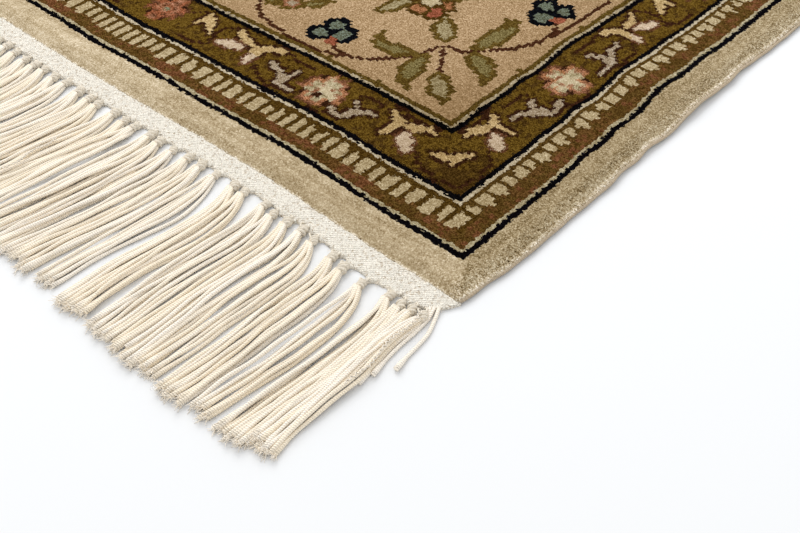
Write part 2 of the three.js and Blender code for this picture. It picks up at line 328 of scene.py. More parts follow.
# Figures of the main border. A limb is a run of (along, across, width) in knots: along from the
# middle of the first rosette, away from the corner, and across from the border's outer edge
CORNER_FIGURES = [
    ("lilac", [(-5.0, 3.2, 1.3), (-9.0, 2.6, 2.0), (-10.3, 6.6, 1.6), (-8.3, 8.9, 1.3)]),
    ("lilac", [(-9.3, 3.0, 2.0), (-11.5, 6.2, 1.7), (-13.2, 7.5, 1.6), (-14.8, 7.6, 1.2)]),
    ("straw", [(-16.7, 11.7, 1.3), (-18.3, 10.3, 2.0), (-20.0, 9.8, 2.6), (-20.3, 7.0, 2.5)]),
    ("straw", [(-20.3, 7.0, 2.4), (-19.8, 4.4, 1.2)]),
    ("straw", [(-22.0, 9.4, 2.2), (-24.2, 10.4, 3.0), (-26.2, 11.7, 2.0), (-28.6, 11.7, 1.0)]),
    ("blush", [(-23.4, 7.0, 1.8), (-25.2, 5.6, 3.3), (-27.0, 4.2, 2.2)]),
]
MIDDLE_FIGURES = [
    ("lilac", [(5.2, 2.4, 1.3), (9.6, 2.4, 2.0), (10.0, 5.6, 1.6), (9.0, 8.7, 1.4)]),
    ("lilac", [(9.8, 2.8, 2.0), (12.8, 6.2, 1.7), (16.2, 7.2, 1.3)]),
    ("straw", [(17.4, 12.0, 1.2), (20.0, 11.6, 2.2), (22.2, 9.6, 3.2), (22.4, 6.0, 2.5)]),
    ("blush", [(22.4, 6.0, 2.2), (21.8, 3.8, 1.2)]),
    ("straw", [(24.6, 9.7, 1.2), (27.4, 9.8, 2.6), (29.6, 10.8, 1.9), (32.0, 12.2, 1.3)]),
    ("blush", [(26.4, 7.4, 1.8), (28.8, 6.7, 3.5), (31.4, 5.7, 2.3)]),
    ("straw", [(42.6, 12.2, 2.2), (40.6, 10.0, 2.8), (36.8, 6.9, 1.4)]),
    ("straw", [(42.2, 11.0, 2.0), (42.4, 7.4, 1.1)]),
]
CORNER_LEAF = [
    ("straw", [(26.4, 33.0, 0.9), (27.9, 30.2, 2.0), (29.2, 28.8, 2.7), (32.8, 27.0, 1.1)]),
    ("straw", [(28.2, 29.2, 2.4), (27.4, 27.2, 1.3)]),
]

# Distance from a rosette along the sides, and the distance of the same point along the ends
SIDE_STRETCH = [(0, 0), (6.8, 5.2), (12.5, 9.7), (19.5, 15.5), (24.5, 22), (30, 28.3),
                (33.5, 32.6), (53.5, 53.5)]
# How wide the limbs of a dye are tied, of their drawn width
SLIMNESS = {"lilac": 0.75, "straw": 0.86}

# Thin dark vines of the main border, in the same counts as its figures
BORDER_VINES = [
    [(-43.0, 1.6), (-38.0, 0.8), (-33.0, 1.8), (-29.0, 4.6)],
    [(-29.0, 13.2), (-22.0, 12.7), (-15.5, 13.3)],
    [(-13.5, 11.0), (-10.0, 12.0), (-7.5, 10.5)],
    [(-6.4, 1.6), (-4.6, 0.6), (-1.0, 0.8)],
    [(6.8, 1.4), (11.0, 0.8), (16.0, 2.2), (19.0, 4.4)],
    [(7.0, 12.0), (12.0, 11.4), (17.0, 13.0)],
    [(33.4, 12.6), (35.6, 10.4), (35.2, 7.2), (33.6, 3.4), (36.6, 1.4), (42.0, 1.6)],
    [(44.4, 12.6), (46.6, 10.6)],
]

# Leaves of the field near a corner, in knots from the side and the end, with their widths
FIELD_LEAVES = [
    ("pale_sage", [(50.3, 49.3, 1.6), (48.2, 47.0, 5.2), (45.8, 44.9, 6.0), (43.8, 43.2, 3.4)]),
    ("pale_sage", [(57.6, 60.8, 2.0), (59.5, 62.6, 5.0), (61.8, 64.8, 6.0), (64.4, 68.4, 2.6)]),
    ("sage", [(49.2, 60.4, 2.6), (46.8, 59.2, 5.6), (44.4, 58.4, 6.2), (42.2, 56.6, 4.4)]),
    ("sage", [(51.0, 62.6, 2.2), (50.4, 66.8, 5.4), (49.7, 71.0, 6.0), (49.0, 74.4, 4.8)]),
    ("sage", [(57.2, 53.2, 2.4), (56.8, 50.0, 4.2), (55.8, 46.6, 6.0), (55.0, 43.4, 4.2)]),
    ("sage", [(59.4, 52.5, 2.0), (63.6, 50.7, 5.4), (66.6, 50.0, 4.6), (69.4, 50.6, 3.6)]),
    ("pale_sage", [(75.6, 71.0, 3.0), (77.0, 67.4, 5.2), (77.4, 64.2, 4.8), (78.8, 61.2, 3.2)]),
    ("pale_sage", [(70.2, 75.0, 2.8), (68.2, 77.8, 5.0), (66.6, 81.4, 4.4), (65.0, 84.4, 3.0)]),
    ("sage", [(99.8, 46.8, 2.0), (101.6, 47.2, 3.6), (104.2, 48.4, 1.6)]),
    ("sage", [(94.6, 51.0, 2.4), (92.0, 53.4, 4.2), (90.2, 56.6, 1.8)]),
    ("sage", [(44.4, 108.0, 2.0), (47.4, 110.8, 4.6), (50.8, 112.2, 2.0)]),
    ("sage", [(42.6, 120.4, 2.0), (46.0, 122.6, 4.4), (47.0, 126.0, 2.0)]),
    ("sage", [(44.0, 144.0, 2.0), (48.0, 143.0, 4.8), (51.6, 146.0, 2.0)]),
    ("pale_sage", [(84.0, 84.0, 2.0), (88.4, 87.6, 5.2), (90.6, 92.0, 2.0)]),
    ("sage", [(92.0, 99.0, 2.0), (88.4, 103.4, 5.0), (88.2, 108.6, 2.0)]),
    ("sage", [(97.6, 96.4, 2.0), (103.2, 95.0, 5.0), (107.8, 98.0, 2.0)]),
    ("sage", [(104.0, 126.0, 2.0), (98.4, 129.0, 5.2), (95.0, 134.4, 2.0)]),
    ("pale_sage", [(103.6, 139.0, 2.0), (98.6, 143.6, 5.0), (97.8, 149.4, 2.0)]),
    ("sage", [(86.0, 150.0, 2.0), (80.8, 153.0, 5.0), (78.6, 158.4, 2.0)]),
    ("sage", [(66.0, 128.0, 2.0), (70.6, 124.6, 4.8), (72.4, 119.4, 2.0)]),
]
# Hooked tips of some of those leaves, by the leaf's place in the list
LEAF_HOOKS = {
    0: [(43.8, 43.2, 2.4), (42.4, 41.9, 1.0)],
    2: [(42.2, 56.6, 3.6), (41.0, 54.4, 2.2), (40.7, 52.2, 1.0)],
    3: [(49.0, 74.4, 4.6), (50.4, 77.2, 3.2), (53.0, 77.6, 1.0)],
    4: [(55.0, 43.4, 3.2), (53.6, 41.6, 1.8), (51.2, 40.7, 1.0)],
    5: [(69.4, 50.6, 3.4), (71.2, 52.4, 2.2), (71.8, 54.6, 1.0)],
}
FIELD_VINES = [
    [(56.6, 58.8), (54.0, 59.7), (51.4, 60.0), (49.7, 62.1), (47.0, 65.2), (43.9, 68.3)],
    [(43.9, 68.3), (42.1, 72.3), (40.6, 75.0), (40.3, 78.0), (41.0, 81.4), (43.0, 84.8)],
    [(39.5, 78.6), (39.3, 84.0), (39.2, 94.0), (39.7, 100.0), (41.4, 105.0), (44.6, 111.0)],
    [(44.6, 111.0), (45.0, 117.0), (41.6, 122.0), (39.4, 130.0), (40.2, 140.0), (44.6, 148.0)],
    [(44.6, 148.0), (50.0, 154.0), (52.0, 162.0), (50.0, 168.0), (50.0, 173.5)],
    [(56.6, 58.8), (58.2, 55.0), (58.2, 52.8), (60.3, 50.1), (62.6, 46.6), (66.1, 43.4)],
    [(66.1, 43.4), (69.2, 41.9), (74.1, 41.4), (77.7, 43.0)],
    [(70.6, 41.4), (73.2, 39.6), (78.0, 38.6), (86.0, 38.5), (91.4, 39.4), (95.0, 40.2)],
    [(95.0, 40.2), (99.0, 41.2), (101.4, 42.8), (104.4, 46.6), (108.6, 52.0), (117.5, 54.0)],
    [(56.6, 58.8), (54.4, 55.4), (52.0, 52.0), (50.6, 50.0)],
    [(76.0, 76.0), (82.0, 82.0), (90.0, 91.0), (95.0, 98.0), (97.0, 108.0), (104.0, 118.0)],
    [(104.0, 118.0), (108.0, 128.0), (104.0, 138.0), (94.0, 144.0), (86.0, 152.0)],
    [(86.0, 152.0), (78.0, 160.0), (66.0, 160.0), (58.0, 150.0), (60.0, 138.0)],
    [(60.0, 138.0), (66.0, 129.0), (72.0, 120.0), (74.0, 110.0), (80.0, 104.0)],
]

# Middles of the field's trefoils and the way that each one's coral foot points
TREFOILS = [
    {"lobes": [(49.4, 88.6, 4.4), (44.6, 89.2, 3.8), (46.7, 84.0, 4.6)], "foot": (43.2, 85.2)},
    {"lobes": [(81.4, 49.4, 4.4), (77.4, 47.0, 4.2), (82.2, 44.6, 4.2)], "foot": (77.8, 43.2)},
    {"lobes": [(57.4, 133.0, 4.2), (62.0, 135.4, 4.2), (57.6, 138.0, 4.2)], "foot": (61.6, 139.6)},
    {"lobes": [(84.6, 106.6, 4.2), (80.2, 109.6, 4.2), (79.6, 105.0, 4.2)], "foot": (83.4, 103.2)},
]

FLOWERS = [
    {"middle": (72.0, 72.4), "radius": 7.4},
    {"middle": (104.6, 118.6), "radius": 6.6},
    {"middle": (78.0, 158.4), "radius": 6.6},
]
SMALL_FLOWER = (97.2, 49.8)

# Wool in shade keeps more of its red than of its blue
SHADE_POWERS = (0.86, 1.0, 1.3)

# The floor, and the large soft light: its place, the point it faces and its side
FLOOR_HALF = 4.0
FLOOR_DROP = 0.05 * MM
KEY_PLACE = (-0.9, 0.35, 1.25)
KEY_AIM = (0.15, -0.3, 0.0)
KEY_SIZE = 1.1

# The camera stands beyond the right front corner. Its distances beyond the long side and the
# end of the pile are in its heights over the pile
CAMERA_HEIGHT = 333 * MM
CAMERA_BEYOND_SIDE = 0.594
CAMERA_BEYOND_END = 0.782
CAMERA_TURN = math.radians(42.55)
CAMERA_PITCH = math.radians(43.53)
CAMERA_ROLL = math.radians(-0.85)
CAMERA_LENS = 48.6
SENSOR_WIDTH = 36.0


def scatter(index):
    """A repeatable number from 0 to 1 for each whole number."""
    wave = np.sin(np.asarray(index) * 12.9898 + 4.1) * 43758.5453
    return wave - np.floor(wave)


def bell(distance, half):
    """A bump of height 1 that falls away on both sides, to a third at half."""
    return np.exp(-((distance / half) ** 2))


def edge_sum(table, side, y, column):
    """Sum of a table's bumps along a long side; side is 1 right or -1 left."""
    along = PILE_HALF_LENGTH + side * y
    return sum(row[column] * MM * bell(along - row["at"] * MM, row["half"] * MM) for row in table)


def edge_inset(side, y):
    """How far a long side lies inside its nominal line, with its rounded ends, which the last
    knots draw in a little more."""
    from_end = PILE_HALF_LENGTH - np.abs(y)
    corner = np.maximum(0, 1 - from_end / END_ROUNDING_REACH)
    pull = np.maximum(0, 1 - from_end / CORNER_PULL_REACH)
    return END_ROUNDING * corner**2 + CORNER_PULL * pull**2 + edge_sum(PUCKERS, side, y, "inset")


def edge_tuck(side, y):
    """How much further in the outermost knots and the cord lie."""
    from_end = PILE_HALF_LENGTH - np.abs(y)
    at_corner = TUCK_AT_CORNER * bell(from_end - CORNER_TUCK_PLACE, CORNER_TUCK_HALF)
    return TUCK_ALL_ALONG + edge_sum(EDGE_TUCKS, side, y, "inset") + at_corner


def lift(x, y):
    """Height of the underside over the floor: the pucker's lift, falling to none inwards."""
    side = np.where(x < 0, -1, 1)
    share = np.maximum(0, 1 - (RUG_HALF_WIDTH - np.abs(x)) / PUCKER_REACH)
    return edge_sum(PUCKERS, side, y, "lift") * share


def by_table(table, at, column):
    """A column of a table at distances in metres, by straight runs between its rows."""
    known = [row["at"] * MM for row in table]
    return np.interp(at, known, [row[column] * MM for row in table])


def end_inset(x):
    """How far the end of the pile lies inside its corners at x."""
    return by_table(END_BOW, RUG_HALF_WIDTH - np.abs(x), "inset")


def smooth_step(low, high, value):
    """0 below low, 1 above high, and a smooth rise between."""
    share = np.clip((value - low) / (high - low), 0, 1)
    return share * share * (3 - 2 * share)


def soft_noise(shape, cell, seed):
    """Values from 0 to 1 on a grid: random numbers every cell, joined by smooth steps."""
    rows, columns = shape
    coarse = np.random.default_rng(seed).random((int(rows / cell) + 3, int(columns / cell) + 3))
    row, column = np.arange(rows) / cell, np.arange(columns) / cell
    r, c = row.astype(int)[:, None], column.astype(int)[None, :]
    u, v = smooth_step(0, 1, row % 1)[:, None], smooth_step(0, 1, column % 1)[None, :]
    near = coarse[r, c] * (1 - v) + coarse[r, c + 1] * v
    far = coarse[r + 1, c] * (1 - v) + coarse[r + 1, c + 1] * v
    return near * (1 - u) + far * u


def limb_mask(x, y, limb):
    """Knots within a run of points: nearer to a stretch than half its width there."""
    inside = np.zeros(x.shape, bool)
    for (x1, y1, w1), (x2, y2, w2) in zip(limb, limb[1:]):
        run = max((x2 - x1) ** 2 + (y2 - y1) ** 2, 1e-9)
        share = np.clip(((x - x1) * (x2 - x1) + (y - y1) * (y2 - y1)) / run, 0, 1)
        away = np.hypot(x - x1 - share * (x2 - x1), y - y1 - share * (y2 - y1))
        inside |= away <= (w1 + share * (w2 - w1)) / 2
    return inside


def grown(mask):
    """The knots of a mask and their four neighbours."""
    wide = np.pad(mask, 1)
    inner = slice(1, -1)
    beside = wide[:-2, inner] | wide[2:, inner] | wide[inner, :-2] | wide[inner, 2:]
    return mask | beside


def thin(points, width=1.15):
    """A limb of one width along the points."""
    return [(x, y, width) for x, y in points]


class Chart:
    """The quarter of the design nearest the front right corner: one dye number for each knot."""

    def __init__(self):
        self.dye = np.full((HALF_ALONG, HALF_ACROSS), DYE_NUMBERS["tan"])
        rows, columns = np.mgrid[0:HALF_ALONG, 0:HALF_ACROSS]
        self.x = columns + 0.5
        self.y = rows + 0.5

    def paint(self, mask, dye):
        """Ties the knots of the mask in that dye."""
        self.dye[mask] = DYE_NUMBERS[dye]

    def figure(self, masks, outline):
        """Ties masks in their dyes, with a line one knot wide round all of them."""
        whole = np.logical_or.reduce([mask for mask, _ in masks])
        self.paint(grown(whole) & ~whole, outline)
        for mask, dye in masks:
            self.paint(mask, dye)

    def ragged(self, mask, dye, chance, seed):
        """Ties knots of the mask, and of its neighbours by chance, so that a line has teeth."""
        teeth = np.random.default_rng(seed).random(mask.shape) < chance
        self.paint(mask | (grown(mask) & teeth), dye)


def inset_of(chart, side_band, end_band):
    """Knots inside the line that starts at a band's number on the sides and on the ends."""
    return (chart.x >= side_band) & (chart.y >= end_band)


def line_of(chart, side_band, end_band):
    """The frame one knot wide that starts at those numbers."""
    inside = inset_of(chart, side_band, end_band)
    return inside & ~inset_of(chart, side_band + 1, end_band + 1)


def paint_bands(chart):
    """The frames of the border from the outside in: plain band, lines, tablets and ground."""
    slow = soft_noise(chart.dye.shape, 4.0, 11)
    single = np.random.default_rng(12).random(chart.dye.shape)
    patches = 0.55 * slow + 0.45 * single
    side, end = SIDE_BANDS, END_BANDS
    chart.dye[:] = DYE_NUMBERS["beige"]
    # Painted shade: the plain band along the sides gets the darker beige.
    chart.paint(chart.y > chart.x, "shaded_side_beige")
    rust_zone = inset_of(chart, side["outer_line"] + 1, end["outer_line"] + 1)
    chart.paint(rust_zone, "rust")
    chart.paint(rust_zone & (patches > 0.54), "bark")
    chart.paint(rust_zone & (patches < 0.33), "brick")
    paint_tablets(chart)
    main = inset_of(chart, side["main"], end["main"])
    from_corner = np.hypot(chart.x - side["main"] - 3, chart.y - end["main"] - 3)
    # The ground is mottled in two olives; towards the corner the dark one's share rises, as painted
    # shade.
    mottle_and_corner_shade = np.clip(1.05 - from_corner / 16, 0.28, 0.9)
    chart.paint(main, "olive")
    chart.paint(main & (0.3 * slow + 0.7 * single < mottle_and_corner_shade), "dark_olive")
    inner = inset_of(chart, side["field_line"], end["field_line"])
    chart.paint(inner, "tan")
    lines = [
        (side["outer_line"] + 1, end["outer_line"] + 1, "straw_line", 0.0),
        (side["outer_line"], end["outer_line"], "black", 0.0),
        (side["inner_line"] - 1, end["inner_line"] - 1, "ivory", 0.0),
        (side["inner_line"], end["inner_line"], "black", 0.0),
        (side["field_line"] + 2, end["field_line"] + 2, "moss", 0.03),
        (side["field_line"] + 1, end["field_line"] + 1, "ivory", 0.0),
        (side["field_line"], end["field_line"], "black", 0.0),
    ]
    for seed, (across, along, dye, chance) in enumerate(lines):
        chart.ragged(line_of(chart, across, along), dye, chance, 40 + seed)


def bars_of(count, pitches, first):
    """Which knots of a row are a bar between two tablets: the count of tablets gone by grows
    by one over the local pitch at each knot, and a bar stands where it passes a whole number."""
    at = np.arange(count) + 0.5
    gone = np.cumsum(1 / np.interp(at, *zip(*pitches)))
    gone -= np.interp(first, at, gone)
    return np.diff(np.floor(gone), prepend=np.floor(gone[0])) > 0


def paint_tablets(chart):
    """Rows of cream tablets with a dark bar between. Along the ends they are upright and run on
    into the corner; along the sides they are smaller, with a tooth that points outwards."""
    ragged = np.random.default_rng(7).random(chart.dye.shape)
    beyond_corner = chart.y >= END_BANDS["tablets"] + END_TABLET["rows"]
    past_side = chart.x >= SIDE_BANDS["tablets"]
    side_bars = bars_of(HALF_ALONG, SIDE_PITCH, SIDE_TABLET["first"])[:, None]
    end_bars = bars_of(HALF_ACROSS, END_PITCH, END_TABLET["first"])[None, :]
    runs = [
        (SIDE_TABLET, chart.x - SIDE_BANDS["tablets"], side_bars, 0, beyond_corner, True),
        (END_TABLET, chart.y - END_BANDS["tablets"], end_bars, 1, past_side, False),
    ]
    for tablet, depth, bars, axis, belongs, toothed in runs:
        within = belongs & (depth >= 0) & (depth < tablet["rows"] + 1)
        before, after = np.roll(bars, 1, axis), np.roll(bars, -1, axis)
        outer = before | after
        worn = outer & (depth > tablet["rows"] - 1) & (ragged < INNER_WEAR)
        if toothed:
            worn |= (depth < 1) & (outer | (ragged > 1 - TOOTH_WEAR))
            worn |= outer & (depth >= 1) & (depth < 2) & (ragged < SECOND_ROW_WEAR)
        else:
            corners = (after & (ragged < OUTER_WEAR[0])) | (before & (ragged < OUTER_WEAR[1]))
            worn |= (depth < 1) & corners
        filled = ~bars & (depth < tablet["rows"]) & ~worn
        chart.paint(within, "bark" if toothed else "bar")
        chart.paint(within & (depth < 1) & ~filled & (ragged < RUST_SHARE), "rust")
        chart.paint(within & filled, "tablet")


def paint_rosette(chart, along, across, middle, scarlet, eye):
    """A flower of four broad petals: a cross of two rounded bars, rimmed, with a pale middle and,
    along the ends, a dark eye. Umber shows in the notches between its petals."""
    u, v = along - middle, across - ROSETTE_ACROSS
    away, angle = np.hypot(u, v), np.arctan2(v, u)
    lobes = 5.1 - 0.7 * np.cos(8 * angle) + 0.6 * np.cos(4 * angle)
    whole, inside, heart = away < lobes, away < lobes - 1.3, away < 1.7
    flecks = np.random.default_rng(23).random(u.shape)
    rim = grown(whole) & ~whole
    notches = rim & (np.abs(np.abs(u) - np.abs(v)) < 1.2)
    masks = [(rim & (flecks < 0.55), "halo"), (notches, "umber")]
    if scarlet:
        masks += [(whole, "scarlet"), (whole & (flecks < 0.25), "coral_rim")]
        masks += [(whole & (flecks > 0.8), "halo"), (np.hypot(u - 2.6, v + 1.2) < 1.5, "lilac")]
        masks.append((away < 1.2, "grey_green"))
    else:
        masks += [(whole, "coral_rim"), (whole & (flecks < 0.45), "orange")]
        masks += [(inside, "ivory_green"), (inside & (flecks < 0.3), "cream")]
        masks += [(inside & (flecks > 0.84), "coral_rim"), (heart, "cream")]
    if eye and not scarlet:
        masks.append(((np.abs(u) < 1.5) & (np.abs(v + 1.9) < 1.0), "umber"))
    for mask, dye in masks:
        chart.paint(mask, dye)


def unstretched(along):
    """Carries a place along a side to the same place of a figure along an end: the figures of
    the sides reach further from their rosette."""
    seen, drawn = zip(*SIDE_STRETCH)
    beyond = np.maximum(np.abs(along) - seen[-1], 0)
    return np.sign(along) * (np.interp(np.abs(along), seen, drawn) + beyond)


def slimmer(limb, dye):
    """A figure's limb in the width that its dye is tied in."""
    share = SLIMNESS.get(dye, 1.0)
    return [(x, y, max(width * share, 0.9)) for x, y, width in limb]


def paint_border_figures(chart):
    """Leaves, buds, sprigs and rosettes of the main border, mirrored between the rosettes."""
    side_belongs = chart.y > chart.x
    runs = [
        (chart.y - ROSETTE_ALONG_SIDE, chart.x - SIDE_BANDS["main"], side_belongs, True),
        (chart.x - ROSETTE_ALONG_END, chart.y - END_BANDS["main"], ~side_belongs, False),
    ]
    for along, across, belongs, stretched in runs:
        far = 2 * ROSETTE_STEP - along
        near_run, far_run = (unstretched(along), unstretched(far)) if stretched else (along, far)
        again = belongs & (along > ROSETTE_STEP)
        for vine in BORDER_VINES:
            chart.paint(limb_mask(near_run, across, thin(vine, 1.0)) & belongs, "umber")
            chart.paint(limb_mask(far_run, across, thin(vine, 1.0)) & again, "umber")
        groups = [(near_run, CORNER_FIGURES), (near_run, MIDDLE_FIGURES), (far_run, MIDDLE_FIGURES)]
        for run, figures in groups:
            masks = [(limb_mask(run, across, slimmer(limb, dye)) & belongs, dye)
                     for dye, limb in figures]
            whole = np.logical_or.reduce([mask for mask, _ in masks])
            buds = np.logical_or.reduce([mask for mask, dye in masks if dye == "blush"])
            chart.figure(masks, "umber")
            chart.paint(grown(buds) & ~whole, "halo")
        for number in range(3):
            paint_rosette(chart, along, across, number * ROSETTE_STEP, number == 1, not stretched)
    leaf = [(limb_mask(chart.x, chart.y, limb), dye) for dye, limb in CORNER_LEAF]
    chart.figure(leaf, "umber")


def paint_flower(chart, middle, radius):
    """An open coral flower: six round petals about a pale middle, each with a dark line, three
    towards the corner and three away from it, with room for a leaf on both sides."""
    for petal in (0, 1, 2, 4, 5, 6):
        turn = math.pi * petal / 4
        reach = 0.60 * radius if petal % 2 == 0 else 0.76 * radius
        x = middle[0] - reach * math.cos(turn)
        y = middle[1] - reach * math.sin(turn)
        mask = np.hypot(chart.x - x, chart.y - y) < 0.29 * radius
        chart.figure([(mask, "coral" if petal % 2 == 1 else "orange")], "bar")
    heart = np.hypot(chart.x - middle[0], chart.y - middle[1]) < 0.34 * radius
    chart.figure([(heart, "cream")], "bar")


def paint_field(chart):
    """Vines, leaves, trefoils and flowers of the tan field, and the rosette in its middle."""
    for vine in FIELD_VINES:
        chart.paint(limb_mask(chart.x, chart.y, thin(vine)), "vine")
    for number, (dye, limb) in enumerate(FIELD_LEAVES):
        paint_leaf(chart, limb, dye, LEAF_HOOKS.get(number))
    for trefoil in TREFOILS:
        paint_trefoil(chart, trefoil)
    for flower in FLOWERS:
        paint_flower(chart, flower["middle"], flower["radius"])
    small = np.hypot(chart.x - SMALL_FLOWER[0], chart.y - SMALL_FLOWER[1])
    chart.figure([(small < 2.4, "coral_rim"), (small < 1.2, "lilac")], "moss")
    from_side, from_end = chart.x - HALF_ACROSS, chart.y - HALF_ALONG
    away = np.hypot(from_side, from_end)
    petals = 12.5 + 2.6 * np.cos(8 * np.arctan2(from_end, from_side))
    chart.figure([(away < petals, "coral"), (away < petals - 2.6, "ivory_green")], "umber")
    chart.figure([(away < 5.4, "coral_rim"), (away < 2.4, "cream")], "moss")


def paint_leaf(chart, limb, dye, hook):
    """A leaf with a mossy rim one knot wide inside its outline, and a hooked tip."""
    whole = limb_mask(chart.x, chart.y, limb)
    filled = limb_mask(chart.x, chart.y, [(x, y, w - 2.2) for x, y, w in limb])
    if hook is not None:
        whole |= limb_mask(chart.x, chart.y, hook)
    chart.paint(whole, "moss")
    chart.paint(filled, dye)


def paint_trefoil(chart, trefoil):
    """Three slate lobes, each inside an ink line, over a coral foot."""
    lobes = [np.hypot(chart.x - x, chart.y - y) < w / 2 - 0.2 for x, y, w in trefoil["lobes"]]
    whole = np.logical_or.reduce(lobes)
    chart.paint(grown(grown(whole)), "ink")
    for lobe in lobes:
        chart.paint(lobe, "slate")
    foot = np.hypot(chart.x - trefoil["foot"][0], chart.y - trefoil["foot"][1]) < 1.7
    chart.paint(foot, "coral")


def whole_chart():
    """The dye of every knot of the rug: the quarter and its mirror images, front row first."""
    chart = Chart()
    paint_bands(chart)
    field = chart.dye == DYE_NUMBERS["tan"]
    before = chart.dye.copy()
    paint_field(chart)
    chart.dye = np.where(field, chart.dye, before)
    lines = chart.dye == DYE_NUMBERS["black"]
    kept = chart.dye.copy()
    paint_border_figures(chart)
    outside = ~inset_of(chart, SIDE_BANDS["main"], END_BANDS["main"])
    chart.dye = np.where(lines | outside | field, kept, chart.dye)
    half = np.concatenate([chart.dye, chart.dye[::-1]], axis=0)
    return np.concatenate([half, half[:, ::-1]], axis=1)


def label_of(end):
    """Name of an end: -1 is the front, which is next to the camera."""
    return "front" if end < 0 else "back"


def placed(name, data):
    """A new object in the scene."""
    made = bpy.data.objects.new(name, data)
    bpy.context.scene.collection.objects.link(made)
    return made


def build_mesh(name, points, face_sets, smooth=True):
    """A mesh object from rows of points and arrays of faces, each array of one corner count."""
    corners = np.concatenate([faces.ravel() for faces in face_sets]).astype(np.int32)
    totals = np.concatenate([np.full(len(faces), faces.shape[1]) for faces in face_sets])
    starts = np.cumsum(totals) - totals
    mesh = bpy.data.meshes.new(name)
    mesh.vertices.add(len(points))
    mesh.vertices.foreach_set("co", np.asarray(points, np.float32).ravel())
    mesh.loops.add(len(corners))
    mesh.loops.foreach_set("vertex_index", corners)
    mesh.polygons.add(len(totals))
    mesh.polygons.foreach_set("loop_start", starts.astype(np.int32))
    mesh.polygons.foreach_set("use_smooth", np.full(len(totals), smooth))
    mesh.update(calc_edges=True)
    if mesh.validate():
        raise RuntimeError(f"{name} has faces that don't hold together")
    return placed(name, mesh)


def add_uv(mesh, name, corners):
    """Puts one (u, v) for each face corner into a named UV map."""
    layer = mesh.uv_layers.new(name=name)
    layer.uv.foreach_set("vector", np.asarray(corners, np.float32).ravel())


def add_numbers(mesh, name, values, domain):
    """Puts one number for each point or face into a named attribute."""
    attribute = mesh.attributes.new(name, "FLOAT", domain)
    attribute.data.foreach_set("value", np.asarray(values, np.float32).ravel())


def grid_quads(rows, columns, wrap_rows=False, wrap_columns=False):
    """Corners of the quads of a grid of points, row after row, counter-clockwise in (u, v)."""
    r, c = np.mgrid[0:rows if wrap_rows else rows - 1, 0:columns if wrap_columns else columns - 1]
    above, after = (r + 1) % rows, (c + 1) % columns
    corners = [r * columns + c, r * columns + after, above * columns + after, above * columns + c]
    return np.stack(corners, axis=-1).reshape(-1, 4)


def grid_places(rows, columns):
    """Column and row of the four corners of each of rows times columns quads, in that order."""
    r, c = np.mgrid[0:rows, 0:columns]
    return np.stack([c, r, c + 1, r, c + 1, r + 1, c, r + 1], axis=-1).reshape(-1, 4, 2)


def rim_of(rows, columns):
    """Numbers of a grid's outermost points, round from the first one."""
    number = np.arange(rows * columns).reshape(rows, columns)
    return np.concatenate([number[0, :-1], number[:-1, -1], number[-1, :0:-1], number[:0:-1, 0]])


def repeated(faces, count, stride, first=0):
    """Faces of one form made into those of count equal forms, stride points apart."""
    starts = first + np.arange(count) * stride
    return (faces[None] + starts[:, None, None]).reshape(-1, faces.shape[1])


def end_faces(rows, columns):
    """The faces of many corners that close both ends of a grid whose columns go round."""
    last = np.arange(columns) + (rows - 1) * columns
    return np.stack([np.arange(columns)[::-1], last])


def flat_to_rug(x, y):
    """Carries a point of the even grid onto the drawn-in cloth: sides and ends move inwards in
    proportion, and the border lines stray a little as the weaver's tension changed."""
    side = np.where(x < 0, -1, 1)
    from_side = (RUG_HALF_WIDTH - np.abs(x)) / KNOT
    from_end = (PILE_HALF_LENGTH - np.abs(y)) / KNOT
    middle_of_side = smooth_step(22, 90, from_end)
    stray = (0.25 + 0.75 * middle_of_side) * KNOT * bell(from_side - 11, 9)
    end_stray = (-0.45 + 0.22 * np.sin(from_side / 7.0)) * KNOT * bell(from_end - 14, 12)
    tuck = edge_tuck(side, y) * (1 - smooth_step(1, TUCKED_KNOTS, from_side))
    drawn_x = x * (1 - edge_inset(side, y) / PILE_HALF_WIDTH) - side * (stray + tuck)
    drawn_y = y * (1 - end_inset(x) / PILE_HALF_LENGTH) - np.sign(y) * end_stray
    return drawn_x, drawn_y


def pile_relief(x, y):
    """Height of the cut pile over its mean: slow ripples, tufts that stand unevenly, and a fall
    towards the ends and the sides over the last knots."""
    ripple = 0.16 * np.sin(x * 62 + 1.3 * np.sin(y * 21)) * np.sin(y * 48 + 0.8)
    ripple += 0.10 * np.sin(x * 140 + y * 95 + 0.4)
    from_side = RUG_HALF_WIDTH - np.abs(x)
    coarse = 1 - smooth_step(6 * MM, 16 * MM, from_side)
    jitter = np.random.default_rng(5).random(x.shape) - 0.5
    from_end = PILE_HALF_LENGTH - end_inset(x) - np.abs(y)
    fall = 1.5 * (1 - smooth_step(0, 6.5 * MM, from_end))
    fall += 1.2 * (1 - smooth_step(0, 11 * MM, from_side))
    return (ripple + jitter * (0.24 + 0.55 * coarse) - fall) * MM


def row_strips(ring, rows, columns):
    """Faces that close a slab on the side that is never seen: one long quad for each row, and a
    face of many corners at each end, which takes in the last row."""
    turns = np.cumsum([columns - 1, rows - 1, columns - 1])
    front, right, back, left = np.split(ring, turns)
    right = np.append(right, back[0])
    left = np.append(left, front[0])[::-1]
    strips = np.stack([left[:-1], left[1:], right[1:], right[:-1]], axis=-1)
    front_cap = np.concatenate([[left[1], right[1]], [right[0]], front[:0:-1], [left[0]]])[None]
    back_cap = np.concatenate([[left[-1]], back[::-1][:-1], [right[-1], right[-2], left[-2]]])[None]
    return [strips[1:-1], front_cap, back_cap]


